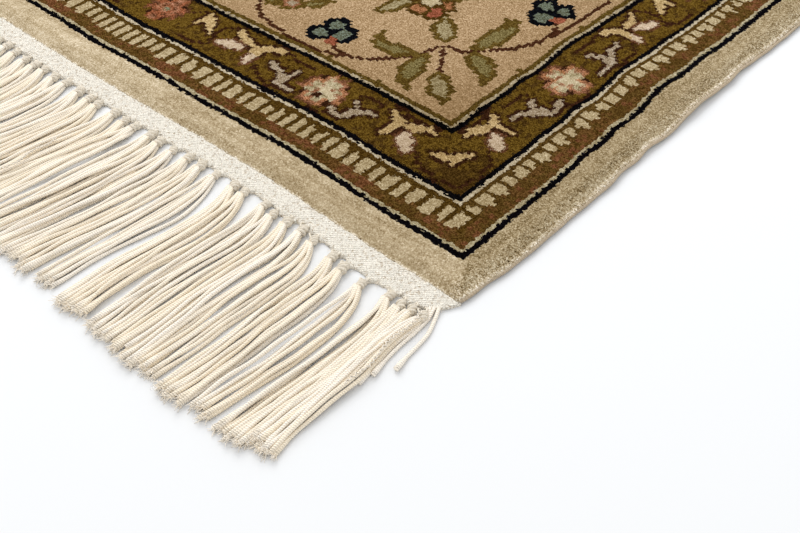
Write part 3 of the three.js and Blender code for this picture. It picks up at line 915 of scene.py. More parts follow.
def slab_of_knots(name, chart, top_height, upwards):
    """A closed slab over the whole pile. One face is a grid with a quad for each knot; its rim
    and wall are rings round it, and the other face, which is never seen, is one long quad
    for each row. upwards is False for the woven back, which is level and faces the floor."""
    xs = np.linspace(-PILE_HALF_WIDTH, PILE_HALF_WIDTH, PILE_COLUMNS + 1)
    ys = np.linspace(-PILE_HALF_LENGTH, PILE_HALF_LENGTH, KNOTS_ALONG + 1)
    flat_x, flat_y = np.meshgrid(xs, ys)
    x, y = flat_to_rug(flat_x, flat_y)
    rows, columns = x.shape
    edge = np.zeros(x.shape, bool)
    edge[[0, -1], :] = True
    edge[:, [0, -1]] = True
    height, wall = np.zeros(x.shape), BACK_WALL
    if upwards:
        ragged = RIM_RAGGEDNESS * (np.random.default_rng(9).random(x.shape) - 0.5)
        at_end = np.abs(flat_y) > ys[-2]
        y = y - np.sign(y) * (RIM_INSET_AT_END + ragged) * at_end
        last_two = np.abs(flat_x) > (xs[-3] + xs[-2]) / 2
        rim_height = np.where(last_two, RIM_AT_SIDE, RIM_AT_END)
        height = np.where(edge, rim_height, top_height + pile_relief(x, y))
        height = np.where(grown(edge) & ~edge, 0.75 * height + 0.25 * rim_height, height)
        wall = PILE_WALL
    raised = lift(x, y)
    face = np.stack([x, y, height + raised], axis=-1).reshape(-1, 3)
    ring = rim_of(rows, columns)
    at_side = np.abs(flat_x.ravel()[ring]) > xs[-2]
    beyond_end = np.abs(flat_y.ravel()[ring]) > ys[-2]
    outwards = np.sign(face[ring, :2]) * np.stack([at_side, beyond_end], axis=-1)
    walls = []
    for out_at_side, out_at_end, level_at_side, level_at_end in wall:
        points = face[ring].copy()
        points[:, :2] += outwards * (out_at_side, out_at_end)
        points[:, 2] = np.where(at_side, level_at_side, level_at_end) + raised.ravel()[ring]
        walls.append(points)
    quads = grid_quads(rows, columns)
    below = rows * columns + np.arange(len(wall) * len(ring)).reshape(-1, len(ring))
    rings = np.concatenate([ring[None], below])
    steps = [np.stack([upper, low, np.roll(low, -1), np.roll(upper, -1)], axis=-1)
             for upper, low in zip(rings, rings[1:])]
    sets = [quads, np.concatenate(steps), *row_strips(rings[-1], rows, columns)]
    if not upwards:
        sets = [faces[:, ::-1] for faces in sets]
    made = build_mesh(name, np.concatenate([face] + walls), sets)
    mark_dyes(made.data, chart, upwards)
    # Painted light: the last column, the rim over a side cord, is brightened by the shader where it
    # would lie in shade.
    rim = np.where(np.abs(flat_x) > xs[-2], 0.6, 0.0)
    mark_places(made.data, RUG_HALF_WIDTH - np.abs(flat_x), PILE_HALF_LENGTH - np.abs(flat_y), rim)
    return made


def mark_dyes(mesh, chart, upwards):
    """Gives each knot's face its dye and its four neighbours' dyes, and a place in the weave:
    the UV map counts knots across and along, so that a shader can find the middle of each.
    The walls are beige, and their places are those of their points."""
    wide = np.pad(chart, 1, mode="edge")
    inner = slice(1, -1)
    around = {
        "dye": chart,
        "dye_left": wide[inner, :-2],
        "dye_right": wide[inner, 2:],
        "dye_front": wide[:-2, inner],
        "dye_back": wide[2:, inner],
    }
    for label, numbers in around.items():
        values = np.full(len(mesh.polygons), float(DYE_NUMBERS["beige"]))
        values[:chart.size] = numbers.ravel()
        add_numbers(mesh, label, values, "FACE")
    corners = grid_places(*chart.shape)
    if not upwards:
        corners = corners[:, ::-1]
    loops = np.zeros(len(mesh.loops), np.int32)
    mesh.loops.foreach_get("vertex_index", loops)
    places = np.zeros(len(mesh.vertices) * 3)
    mesh.vertices.foreach_get("co", places)
    places = places.reshape(-1, 3)[loops] / KNOT
    uv = places[:, :2] + places[:, 2:]
    uv[:chart.size * 4] = corners.reshape(-1, 2)
    add_uv(mesh, "knots", uv)


def mark_places(mesh, from_side, from_end, rim):
    """Masks over the grid of the pile for its shader: where the tufts are curled, the plain
    outer band, where that runs along a side, the rim over a cord, which the shader brightens as
    painted light, and a change of light that is painted. The last is above 0 in the border's far
    parts and in the band next to the web, where painted light brightens the pile, and below 0 in
    the field's corners and along its lines, where painted shade darkens it. The points of the wall
    get 1, so that painted light brightens the walls too."""
    nearest, furthest = np.minimum(from_side, from_end), np.maximum(from_side, from_end)
    band = 1 - smooth_step(19 * MM, 24 * MM, nearest)
    in_field = smooth_step(84 * MM, 88 * MM, nearest)
    far = smooth_step(90 * MM, 290 * MM, furthest) * (1 - in_field)
    far = np.maximum(far, 0.75 * band * bell(from_end, 28 * MM) * (from_side < 26 * MM))
    near_corner = bell(np.hypot(from_side - 94 * MM, from_end - 96 * MM), 40 * MM)
    near_line = 1 - smooth_step(95 * MM, 130 * MM, nearest)
    masks = {
        "coarse": 1 - smooth_step(7 * MM, 13 * MM, from_side),
        "band": band,
        "along_side": smooth_step(-4 * MM, 4 * MM, from_end - from_side),
        "rim": rim,
        "far": far - in_field * (near_corner + 0.7 * near_line),
    }
    for label, values in masks.items():
        # The wall's points get 1 in every mask, so that painted light brightens the walls.
        spread = np.full(len(mesh.vertices), 1.0)
        spread[:values.size] = values.ravel()
        add_numbers(mesh, label, spread, "POINT")


def tube(points, radii, sides):
    """Closed tubes, all of one number of steps. points are (tube, step, 3) and radii
    (tube, step); a ring of points stands square to the path at each step, turned the least
    from level, and a face closes each end. Returns points, quads, caps and UVs."""
    count, steps = radii.shape
    ahead = np.gradient(points, axis=1)
    ahead /= np.linalg.norm(ahead, axis=-1, keepdims=True)
    across = np.cross(ahead, np.array([0.0, 0.0, 1.0]))
    across /= np.maximum(np.linalg.norm(across, axis=-1, keepdims=True), 1e-9)
    upward = np.cross(across, ahead)
    turn = -2 * np.pi * np.arange(sides)[:, None] / sides
    spoke = across[..., None, :] * np.cos(turn) + upward[..., None, :] * np.sin(turn)
    rings = points[:, :, None, :] + spoke * radii[:, :, None, None]
    quads = repeated(grid_quads(steps, sides, wrap_columns=True), count, steps * sides)
    caps = repeated(end_faces(steps, sides), count, steps * sides)
    length = np.linalg.norm(np.diff(points, axis=1, prepend=points[:, :1]), axis=-1).cumsum(axis=1)
    places = grid_places(steps - 1, sides)
    u = np.tile(-places[..., 0] / sides, (count, 1))
    v = length[:, places[..., 1]].reshape(-1, 4)
    uv = np.stack([u, v], axis=-1).reshape(-1, 2)
    return rings.reshape(-1, 3), quads, caps, np.concatenate([uv, np.zeros((caps.size, 2))])


def side_cord(side, radius):
    """Cord overcast to a long side: a round section carried along the edge, swelling a little
    under each turn of the yarn that is wrapped round it, four steps to a stitch."""
    steps = 4 * round(PILE_LENGTH / CORD_STITCH) + 1
    y = np.linspace(-PILE_HALF_LENGTH, PILE_HALF_LENGTH, steps)
    swell = np.array([0.0, 0.75, 1.0, 0.75])[np.arange(steps) % 4] * CORD_SWELL
    thick = (radius + swell - CORD_SWELL)[:, None]
    turn = 2 * np.pi * np.arange(CORD_SIDES) / CORD_SIDES
    drawn_y = y * (1 - end_inset(side * RUG_HALF_WIDTH) / PILE_HALF_LENGTH)
    middle = side * (RUG_HALF_WIDTH - edge_inset(side, y) - edge_tuck(side, y) - radius)
    slack = 0.12 * MM * np.sin(y * 310 + 2 * side) + 0.10 * MM * np.sin(y * 127)
    x = (middle + slack)[:, None] + thick * np.cos(turn)
    z = CORD_LIFT + thick * (1 + np.sin(turn)) + edge_sum(PUCKERS, side, y, "lift")[:, None]
    points = np.stack(np.broadcast_arrays(x, drawn_y[:, None], z), axis=-1).reshape(-1, 3)
    quads = grid_quads(steps, CORD_SIDES, wrap_columns=True)[:, ::-1]
    caps = end_faces(steps, CORD_SIDES)[:, ::-1]
    made = build_mesh(f"overcast_cord_{'right' if side > 0 else 'left'}", points, [quads, caps])
    uv = grid_places(steps - 1, CORD_SIDES)[:, ::-1].reshape(-1, 2) / (CORD_SIDES, 4)
    add_uv(made.data, "thread", np.concatenate([uv, np.zeros((caps.size, 2))]))
    return made


def knot_rows(end):
    """Knots of one end from the right long side to the left: their x, and how far each lies
    from the end of the pile. The first ones are the table's, the rest at an uneven pitch."""
    measured = CORNER_BUNDLES if end < 0 else CORNER_BUNDLES[:1]
    first = measured[-1]["at"] * MM
    last = RUG_WIDTH - CORNER_BUNDLES[0]["at"] * MM
    rest = BUNDLES - len(measured)
    pitch = (last - first) / rest
    index = np.arange(rest)
    shift = (scatter(index + 31 * end) - 0.5) * PITCH_UNEVENNESS * pitch
    shift[-1] = 0
    at = np.concatenate([[row["at"] * MM for row in measured], first + pitch * (index + 1) + shift])
    drop = KNOT_DROP + (scatter(index + 57 * end) - 0.5) * KNOT_DROP_SPREAD
    return RUG_HALF_WIDTH - at, np.concatenate([[row["drop"] * MM for row in measured], drop])


def strand_paths(end, radius):
    """Middle lines of the warps of one end. Each leaves its knot slantwise, sinks to the floor
    or onto its neighbours and bends back to its tip: x is the straight line from knot to tip,
    plus a bow that grows with the distance and dies away exponentially, plus the warp's own
    place in a fan that opens within a short way, plus a sway that neighbours share."""
    knot_x, drop = knot_rows(end)
    rng = np.random.default_rng(17 + end)
    total = BUNDLES * STRANDS
    bundle = np.repeat(np.arange(BUNDLES), STRANDS)
    place = np.tile(np.arange(STRANDS), BUNDLES)
    from_middle = (STRANDS - 1) / 2 - place
    knot_at = RUG_HALF_WIDTH - knot_x
    room = -np.gradient(knot_x) / (1.2 * STRANDS)
    widest = RUG_HALF_WIDTH - LOCK_TIP_INSET
    middle_tip = np.clip(knot_x - by_table(TIPS, knot_at, "drift"), -widest, widest)
    tip_x = middle_tip[bundle] + from_middle * room[bundle]
    tip_x += 0.95 * MM * np.sin(tip_x / MM * 0.95 + 1.7 * np.sin(tip_x / MM / 17.0))
    clump = CLUMPING * (2 * scatter(bundle * 7 + 3 + end) - 1)
    tip_x += clump * np.clip((knot_at[bundle] - CLUMPS_FROM) / CLUMPS_RISE, 0, 1)
    start = PILE_HALF_LENGTH - end_inset(knot_x) + drop + 0.9 * KNOT_HALF_LENGTH
    start = start[bundle, None]
    shorter = 3.0 * MM * scatter(bundle * 3 + 5 + end) + 4.5 * MM * rng.random(total) ** 1.5
    reach = PILE_HALF_LENGTH + by_table(TIPS, knot_at, "reach")[bundle] - 1.5 * MM - shorter
    share = np.linspace(0, 1, STRAND_STEPS[end])[None, :] ** 1.25
    y = start + (reach[:, None] - start) * share
    gone = y - start
    fan = 1 - np.exp(-gone / FAN_REACH)
    wide = 1 + 0.35 * np.sin(np.pi * np.clip(gone / (60 * MM), 0, 1))
    stray = (rng.random(total) < 0.08) & (bundle > 2)
    lean = np.where(stray, rng.normal(0, 4.5 * MM, total), rng.normal(0, 0.45 * MM, total))
    lean = np.clip(lean, -9 * MM, 9 * MM)[:, None]
    aside = (from_middle * ROOT_SPACING)[:, None]
    fanned = (tip_x - middle_tip[bundle])[:, None] * wide
    x = knot_x[bundle, None] + (middle_tip - knot_x)[bundle, None] * share
    x += aside + (fanned - aside) * fan + lean * share**2
    own_bow = BOW * (0.7 + 0.6 * scatter(bundle * 11 + 2 + end))
    own_bow *= np.interp(knot_at[bundle], [12 * MM, 27 * MM], [-0.75, 1])
    x -= end * own_bow[:, None] * gone / BOW_REACH * np.exp(1 - gone / BOW_REACH)
    phase = 2 * np.pi * x / SWAY_LENGTH
    x += LOCK_SWAY * np.sin(1.6 * np.pi * share + phase) * np.sin(np.pi * share)
    wave = rng.random((total, 2)) * 2 * np.pi
    x += 0.45 * MM * np.sin(8 * share + wave[:, :1]) * smooth_step(0, 0.3, share)
    x += 0.22 * MM * np.sin(21 * share + wave[:, 1:]) * smooth_step(0, 0.3, share)
    x = np.clip(x, -RUG_HALF_WIDTH + 2 * MM, RUG_HALF_WIDTH - 2 * MM)
    z = strand_heights(share, place % 2 == 1, stray, wave[:, :1], radius)
    z += CORNER_OVER * np.sin(np.pi * share) ** 2 * (bundle == 0)[:, None]
    return np.stack([x, end * y, np.maximum(z, radius)], axis=-1), rng


def strand_heights(share, upper, stray, phase, radius):
    """Heights of the warps' middle lines: every second one lies on its neighbours, a stray one
    on top of them, and all sink from the knot within a seventh of their length."""
    level = radius * np.where(stray, 3.4, np.where(upper, 2.1, 1.0))[:, None]
    root_level = np.where(upper, 3.0 * MM, 1.5 * MM)[:, None]
    sink = 1 - smooth_step(0.0, 0.14, share)
    ripple = 0.22 * MM * (1 + np.sin(11 * share + phase)) * upper[:, None]
    settle = np.where(stray[:, None], 1 - 0.45 * smooth_step(0.75, 1, share), 1)
    return level * settle + (root_level - level) * sink + ripple * (1 - sink)


def strand_radii(points, rng, radius):
    """Radius of each warp along its length: tight at the knot, fuller on the way, and opening
    a little at the cut tip before it closes."""
    count, steps, _ = points.shape
    share = np.linspace(0, 1, steps)[None, :]
    body = radius * (0.88 + 0.22 * rng.random((count, 1)))
    swell = 1 + 0.07 * np.sin(26 * share + 40 * body / MM)
    flare = 1 + 0.30 * smooth_step(0.90, 1, share)
    return body * swell * flare


def smooth_run(points, count):
    """That many points on a smooth line through the given ones, evenly spread among them: each
    stretch is a cubic whose slopes are those between the neighbours on either side."""
    points = np.asarray(points, float)
    slopes = np.gradient(points, axis=0)
    place = np.linspace(0, len(points) - 1, count)
    first = np.minimum(place.astype(int), len(points) - 2)
    t = (place - first)[:, None]
    ends = points[first] * (1 + 2 * t) * (1 - t) ** 2 + points[first + 1] * t * t * (3 - 2 * t)
    return ends + slopes[first] * t * (1 - t) ** 2 - slopes[first + 1] * t * t * (1 - t)


def loose_paths():
    """The thin warps at the front right corner, curving outwards to half the length."""
    paths = []
    for rows in LOOSE_WARPS:
        at, out = smooth_run(rows, STRAND_STEPS[-1]).T * MM
        share = np.linspace(0, 1, len(at))
        z = 0.8 * MM + 0.7 * MM * (1 - smooth_step(0, 0.25, share))
        paths.append(np.stack([RUG_HALF_WIDTH - at, -PILE_HALF_LENGTH - out, z], axis=-1))
    return np.array(paths)


def kinked_mesh():
    """Thin yarns pulled out of their warps, lying over the others in a zigzag."""
    share = np.linspace(0, 1, YARN_STEPS)
    paths = []
    for yarn in KINKED_YARNS:
        at, out = np.array(yarn["from"]), np.array(yarn["to"])
        line = (at + (out - at) * share[:, None]) * MM
        kinks = np.sin(share * YARN_STEPS * 1.7) * (0.5 + scatter(np.arange(YARN_STEPS)))
        x = RUG_HALF_WIDTH - line[:, 0] + 0.6 * MM * kinks + 0.9 * MM * np.sin(share * 11)
        z = YARN_HEIGHT + 0.3 * MM * np.cos(share * YARN_STEPS * 2.1)
        paths.append(np.stack([x, -PILE_HALF_LENGTH - line[:, 1], z], axis=-1))
    radii = np.full((len(paths), YARN_STEPS), YARN_RADIUS)
    places, quads, caps, uv = tube(np.array(paths), radii, 5)
    made = build_mesh("kinked_yarns", places, [quads, caps])
    add_uv(made.data, "thread", uv)
    add_numbers(made.data, "tone", np.full(len(places), YARN_TONE), "POINT")
    return made


def hair_paths(root, ahead, bend, length):
    """Middle lines of hairs: a straight start, bent aside by the square of the distance."""
    share = np.linspace(0, 1, 4)[None, :, None]
    return root[:, None] + (ahead * length)[:, None] * share + (bend * length)[:, None] * share**2


def fray_mesh(end, radius):
    """Fine cotton hairs that spread from the cut tip of every warp, and those of the web. Each
    is a three-sided tube that leaves its straight line by a random slant."""
    points, rng = strand_paths(end, radius)
    ahead = points[:, -1] - points[:, -3]
    ahead /= np.linalg.norm(ahead, axis=-1, keepdims=True)
    tips, ahead = np.repeat(points[:, -1], HAIRS, axis=0), np.repeat(ahead, HAIRS, axis=0)
    count = len(tips)
    turn = rng.random(count) * 2 * np.pi
    aside = radius * np.sqrt(rng.random(count))[:, None]
    spread = np.stack([np.cos(turn), np.zeros(count), np.sin(turn)], axis=-1)
    root = tips - ahead * 1.2 * MM + spread * aside * 0.8
    length = (1.6 + 2.6 * rng.random(count))[:, None] * MM
    slant = spread * (0.2 + 0.5 * rng.random((count, 1))) + rng.normal(0, 0.12, (count, 3))
    paths = np.concatenate([hair_paths(root, ahead, slant, length), web_hairs(end, rng)])
    paths[..., 2] = np.maximum(paths[..., 2], HAIR_RADIUS)
    paths[..., 1] = np.clip(paths[..., 1], -RUG_HALF_REACH, RUG_HALF_REACH)
    thick = np.append(np.full(count, HAIR_RADIUS), np.full(WEB_HAIRS, WEB_HAIR_RADIUS))
    places, quads, caps, _ = tube(paths, thick[:, None] * np.array([1.0, 0.9, 0.8, 0.5]), 3)
    return build_mesh(f"{label_of(end)}_frays", places, [quads, caps])


def web_hairs(end, rng):
    """Middle lines of the short hairs that stand out of the web's outer edge."""
    x, depth, _, _ = web_outline(end)
    place = rng.random(WEB_HAIRS) * (len(x) - 1)
    at = np.interp(place, np.arange(len(x)), x)
    out = PILE_HALF_LENGTH - end_inset(at) + np.interp(place, np.arange(len(x)), depth) - 0.7 * MM
    root = np.stack([at, end * out, (0.5 + 1.0 * rng.random(WEB_HAIRS)) * MM], axis=-1)
    ahead = np.stack([rng.normal(0, 0.5, WEB_HAIRS), np.full(WEB_HAIRS, float(end)),
                      rng.random(WEB_HAIRS) * 0.5], axis=-1)
    bend = rng.normal(0, 0.6, (WEB_HAIRS, 3)) * np.array([1.0, 0.6, 0.3])
    length = (1.0 + 2.2 * rng.random((WEB_HAIRS, 1)) ** 2) * MM
    return hair_paths(root, ahead, bend, length)


def strand_mesh(end, radius):
    """All warps of one end as one mesh, with their cut tips closed. At the front the thin warps
    that slipped the corner knot come with them."""
    points, rng = strand_paths(end, radius)
    radii = strand_radii(points, rng, radius)
    tone = rng.random(len(points))
    if end < 0:
        loose = loose_paths()
        points = np.concatenate([points, loose])
        share = np.linspace(0, 1, loose.shape[1])
        flared = LOOSE_RADIUS * (1 + 0.5 * smooth_step(0.78, 0.96, share))
        radii = np.concatenate([radii, np.tile(flared, (len(loose), 1))])
        tone = np.append(tone, LOOSE_TONES)
    points[..., 2] = np.maximum(points[..., 2], radii)
    places, quads, caps, uv = tube(points, radii, STRAND_SIDES)
    made = build_mesh(f"{label_of(end)}_warps", places, [quads, caps])
    add_uv(made.data, "thread", uv)
    add_numbers(made.data, "tone", np.repeat(tone, STRAND_SIDES * points.shape[1]), "POINT")
    return made


def knot_lump():
    """A rounded lump with closed poles: its points, then its quads and its two caps."""
    rows, columns = 7, 10
    down = np.linspace(0.06, 0.94, rows)[:, None] * np.pi
    about = 2 * np.pi * np.arange(columns)[None, :] / columns
    parts = np.sin(down) * np.cos(about), np.cos(down), np.sin(down) * np.sin(about)
    ball = np.stack(np.broadcast_arrays(*parts), axis=-1)
    quads = grid_quads(rows, columns, wrap_columns=True)
    return (ball * KNOT_LUMP).reshape(1, -1, 3), [quads, end_faces(rows, columns)]


def knot_turn(end, number):
    """One turn of yarn round each knot, a closed ring in x and z whose y grows with x by a slant
    of the knot's own: its points knot by knot, then the faces of one."""
    offset, slant, thick = KNOT_TURNS[number]
    steps, sides = 16, 5
    turn = 2 * np.pi * np.arange(steps)[:, None] / steps
    section = 2 * np.pi * np.arange(sides)[None, :] / sides
    tilt = slant + 0.5 * (scatter(np.arange(BUNDLES) * 13 + number) - 0.5)[:, None, None]
    ring = 1 + thick * np.cos(section) / KNOT_TURN_REACH[0]
    x = KNOT_TURN_REACH[0] * np.cos(turn) * ring
    z = KNOT_TURN_REACH[1] * np.sin(turn) * ring
    y = -end * offset + tilt * x + thick * np.sin(section)
    points = np.stack(np.broadcast_arrays(x, y, z), axis=-1).reshape(BUNDLES, -1, 3)
    return points, [grid_quads(steps, sides, wrap_rows=True, wrap_columns=True)]


def knot_mesh(end):
    """Overhand knots of one end. Each is a rounded lump, longer than high, with three turns of
    yarn wound slantwise round it, and some have small loops towards the web; lump and turns
    are closed grids set at the knot's place, and the loops are bent tubes."""
    knot_x, drop = knot_rows(end)
    index = np.arange(BUNDLES)
    spin = (scatter(index * 7 + 3 + end) - 0.5)[:, None, None]
    size = (0.88 + 0.26 * scatter(index * 5 + 1 + end))[:, None, None]
    middle_y = PILE_HALF_LENGTH - end_inset(knot_x) + drop - 0.4 * MM
    middle = np.stack([knot_x, end * middle_y, np.full(BUNDLES, KNOT_LEVEL)], axis=-1)[:, None, :]
    towards = -end * (0.42 + 0.9 * spin)
    points, faces, first = [], [], 0
    for local, face_sets in [knot_lump()] + [knot_turn(end, number) for number in range(3)]:
        points.append((turned_level(local * size, towards) + middle).reshape(-1, 3))
        faces += [repeated(one, BUNDLES, local.shape[1], first) for one in face_sets]
        first += len(points[-1])
    loops, quads, caps = knot_loops(end, towards, middle)
    points = np.concatenate(points + [loops])
    points[:, 2] = np.maximum(points[:, 2], 0)
    made = build_mesh(f"{label_of(end)}_knots", points, faces + [quads + first, caps + first])
    fix_normals(made)
    return made


def knot_loops(end, towards, middle):
    """Small slack loops beside two thirds of the knots' sides: each runs from the knot towards
    the web on a parabola given by three points, whose middle one stands aside and higher."""
    count = 2 * len(middle)
    draws = [scatter(np.arange(count) * step + 5 + end) for step in (3, 7, 11, 17)]
    aside = np.tile([-1.0, 1.0], len(middle))
    outward = -end * (2.6 + 2.2 * draws[0])
    start = np.stack([aside * 0.7, np.full(count, -end * 0.6), np.full(count, 0.5)], axis=-1)
    crest = np.stack([aside * (2.2 + 2.0 * draws[1]), outward, 1.0 + 1.4 * draws[2]], axis=-1)
    foot = np.stack([aside * (0.4 + 1.0 * draws[2]), outward * (1.1 + 0.3 * draws[1]),
                     np.full(count, -1.1)], axis=-1)
    kept = draws[3] < 0.66
    t = np.linspace(0, 1, LOOP_STEPS)[None, :, None]
    start, crest, foot = (place[kept][:, None, :] * MM for place in (start, crest, foot))
    paths = start * (1 - t) ** 2 + crest * 2 * t * (1 - t) + foot * t * t
    turned = np.repeat(towards, 2, axis=0)[kept]
    paths = turned_level(paths, turned) + np.repeat(middle, 2, axis=0)[kept]
    return tube(paths, np.full(paths.shape[:2], LOOP_RADIUS), LOOP_SIDES)[:3]


def turned_level(points, angle):
    """Points turned about the upright axis, each row by its own angle."""
    x, y = points[..., :1], points[..., 1:2]
    cosine, sine = np.cos(angle), np.sin(angle)
    return np.concatenate([x * cosine - y * sine, x * sine + y * cosine, points[..., 2:]], axis=-1)


def fix_normals(made):
    """Turns the faces of each closed form outwards."""
    work = bmesh.new()
    work.from_mesh(made.data)
    bmesh.ops.recalc_face_normals(work, faces=work.faces)
    work.to_mesh(made.data)
    work.free()


def web_outline(end):
    """Outer edge of a web: its x, its depth from the pile, how near each place is to a knot,
    and that knot's x. Between two knots the edge is hollow, and at a knot it is drawn out."""
    knot_x, drop = knot_rows(end)
    bounds = (knot_x[1:] + knot_x[:-1]) / 2
    outer = np.concatenate([[knot_x[0] + 3.1 * MM], bounds, [knot_x[-1] - 3.1 * MM]])
    x = np.interp(np.arange(BUNDLES * WEB_COLUMNS_A_BUNDLE + 1) / WEB_COLUMNS_A_BUNDLE,
                  np.arange(BUNDLES + 1), outer)
    index = np.minimum(np.arange(len(x)) // WEB_COLUMNS_A_BUNDLE, BUNDLES - 1)
    away = np.abs(x - knot_x[index])
    near = np.clip(1 - away / (4.2 * MM), 0, 1)
    ragged = 0.8 * MM * (np.random.default_rng(31 + end).random(len(x)) - 0.5)
    uneven = ragged + 0.4 * MM * np.sin(x / MM * 0.37 + 1)
    local_drop = np.interp(-x, -knot_x, drop)
    hollow = 0.9 * MM * smooth_step(0, 4.5 * MM, away)
    between = WEB_DEPTH + 0.2 * MM + 0.55 * (local_drop - KNOT_DROP) + uneven - hollow
    depth = between + np.maximum(drop[index] - 1.8 * MM - between, 0.3 * MM) * near**1.3
    from_side = RUG_HALF_WIDTH - np.abs(x)
    slanted = np.minimum(depth, by_table(WEB_END, from_side, "depth"))
    depth = np.where(from_side < WEB_END[-1]["at"] * MM, slanted, depth)
    return x, depth, near, knot_x[index]


def web_mesh(end):
    """Woven web of one end: a thin closed strip along the pile whose outer edge is drawn to a
    point at every knot. A row of points goes straight from the pile to the outline, and bends
    towards the nearest knot over its last quarter."""
    x, depth, near, nearest_knot = web_outline(end)
    half_at_pile = RUG_HALF_WIDTH - (WEB_INSET_AT_PILE + CORNER_PULL + WEB_EXTRA_INSET)
    at_pile = x * half_at_pile / np.abs(x).max()
    v = np.linspace(0, 1, WEB_ROWS)[:, None]
    pull = (nearest_knot - x) * smooth_step(0.72, 1, v) * 0.55
    across = at_pile * (1 - v) + x * v + pull * near**0.5
    y = PILE_HALF_LENGTH - end_inset(across) + GAP + (depth - GAP) * v
    bulge = 0.25 * MM * np.sin(across / MM * 0.21) * np.sin(v * 3)
    bulge += 0.15 * MM * np.sin(across / MM * 0.8)
    thick = WEB_HEIGHT * (1 - 0.35 * v**3) + bulge * smooth_step(0, 0.2, v)
    thick = np.where(v >= 1, 0.45 * WEB_HEIGHT, thick)
    thick = np.where(near * (v > 0.8) > 0.35, WEB_HEIGHT_AT_KNOT, thick)
    top = np.stack([across, end * y, thick], axis=-1).reshape(-1, 3)
    under = top * np.array([1, 1, 0])
    quads = grid_quads(*across.shape)
    ring = rim_of(*across.shape)
    after = np.roll(ring, -1)
    wall = np.stack([ring + len(top), after + len(top), after, ring], axis=-1)
    sets = [quads, quads[:, ::-1] + len(top), wall]
    made = build_mesh(f"{label_of(end)}_web", np.concatenate([top, under]), sets)
    fix_normals(made)
    return made


class Wire:
    """A number or colour on its way through a shader tree. Arithmetic on it adds math nodes."""

    def __init__(self, socket):
        self.socket = socket

    def math(self, operation, *others):
        """Output of a math node on this value and others."""
        values = dict(enumerate((self, *others)))
        made = node(self.socket.id_data, "ShaderNodeMath", values, operation=operation)
        return Wire(made.outputs[0])

    def __add__(self, other):
        return self.math("ADD", other)

    def __sub__(self, other):
        return self.math("SUBTRACT", other)

    def __mul__(self, other):
        return self.math("MULTIPLY", other)

    def __truediv__(self, other):
        return self.math("DIVIDE", other)

    def wave(self):
        """A sine wave from 0 to 1 that comes round once for each 1 of this value."""
        return (self * (2 * math.pi)).math("SINE") * 0.5 + 0.5

    def mapped(self, low, high, new_low, new_high):
        """This value moved from one range to another and kept within it."""
        limits = {"Value": self, 1: low, 2: high, 3: new_low, 4: new_high}
        made = node(self.socket.id_data, "ShaderNodeMapRange", limits, clamp=True)
        return Wire(made.outputs[0])

    def between(self, first, second):
        """The first number where this value is 0, the second where it is 1."""
        values = {0: self, 2: first, 3: second}
        made = node(self.socket.id_data, "ShaderNodeMix", values, data_type="FLOAT")
        return Wire(made.outputs[0])


def join(tree, value, socket):
    """Links a wire to a socket, or puts a plain value into it."""
    if isinstance(value, Wire):
        tree.links.new(value.socket, socket)
    else:
        socket.default_value = value


def node(tree, kind, values, **settings):
    """Adds a shader node. values fills its inputs by name or number."""
    made = tree.nodes.new(kind)
    for name, value in settings.items():
        setattr(made, name, value)
    for key, value in values.items():
        join(tree, value, made.inputs[key])
    return made


def wires_of(made):
    """The outputs of a node by name."""
    return {socket.name: Wire(socket) for socket in made.outputs if socket.name}


def tinted(tree, factor, first, second, blend="MIX"):
    """Output of a colour mix."""
    values = {0: factor, 6: first, 7: second}
    return Wire(node(tree, "ShaderNodeMix", values, data_type="RGBA", blend_type=blend).outputs[2])


def object_place(tree):
    """The place of a point on the rug, in metres."""
    return Wire(node(tree, "ShaderNodeTexCoord", {}).outputs["Object"])


def attribute(tree, name):
    """A number that the mesh carries."""
    return Wire(node(tree, "ShaderNodeAttribute", {}, attribute_name=name).outputs["Fac"])


def split(tree, vector):
    """The x and y of a vector, or the red and green of a colour."""
    parts = node(tree, "ShaderNodeSeparateXYZ", {0: vector}).outputs
    return Wire(parts[0]), Wire(parts[1])


def uv_place(tree, name):
    """Both numbers of a UV map."""
    return split(tree, Wire(node(tree, "ShaderNodeUVMap", {}, uv_map=name).outputs[0]))


def noise(tree, place, scale, detail, roughness=0.5, distortion=0.0, output="Fac"):
    """A cloudy noise from 0 to 1."""
    values = {"Vector": place, "Scale": scale, "Detail": detail, "Roughness": roughness,
              "Distortion": distortion}
    return Wire(node(tree, "ShaderNodeTexNoise", values).outputs[output])


def streaks(tree, place, along, across):
    """A noise from 0 to 1 drawn out in one direction: scales along Y and across it."""
    drawn = node(tree, "ShaderNodeMapping", {"Vector": place, "Scale": (across, along, 200.0)})
    return noise(tree, Wire(drawn.outputs[0]), 1.0, 2.0)


def linear(rgb):
    """Linear colour with alpha from sRGB numbers of 0 to 255."""
    share = np.array(rgb, float) / 255
    value = np.where(share <= 0.04045, share / 12.92, ((share + 0.055) / 1.055) ** 2.4)
    return (*value.tolist(), 1.0)


def new_group(name, inputs):
    """A shader node group whose inputs are numbers, by name and default."""
    tree = bpy.data.node_groups.new(name, "ShaderNodeTree")
    for label, default in inputs.items():
        socket = tree.interface.new_socket(label, in_out="INPUT", socket_type="NodeSocketFloat")
        socket.default_value = default
    return tree, wires_of(tree.nodes.new("NodeGroupInput"))


def close_group(tree, outputs):
    """Gives a node group its outputs, a colour called Color and numbers."""
    for label in outputs:
        kind = "NodeSocketColor" if label == "Color" else "NodeSocketFloat"
        tree.interface.new_socket(label, in_out="OUTPUT", socket_type=kind)
    node(tree, "NodeGroupOutput", outputs)
    return tree


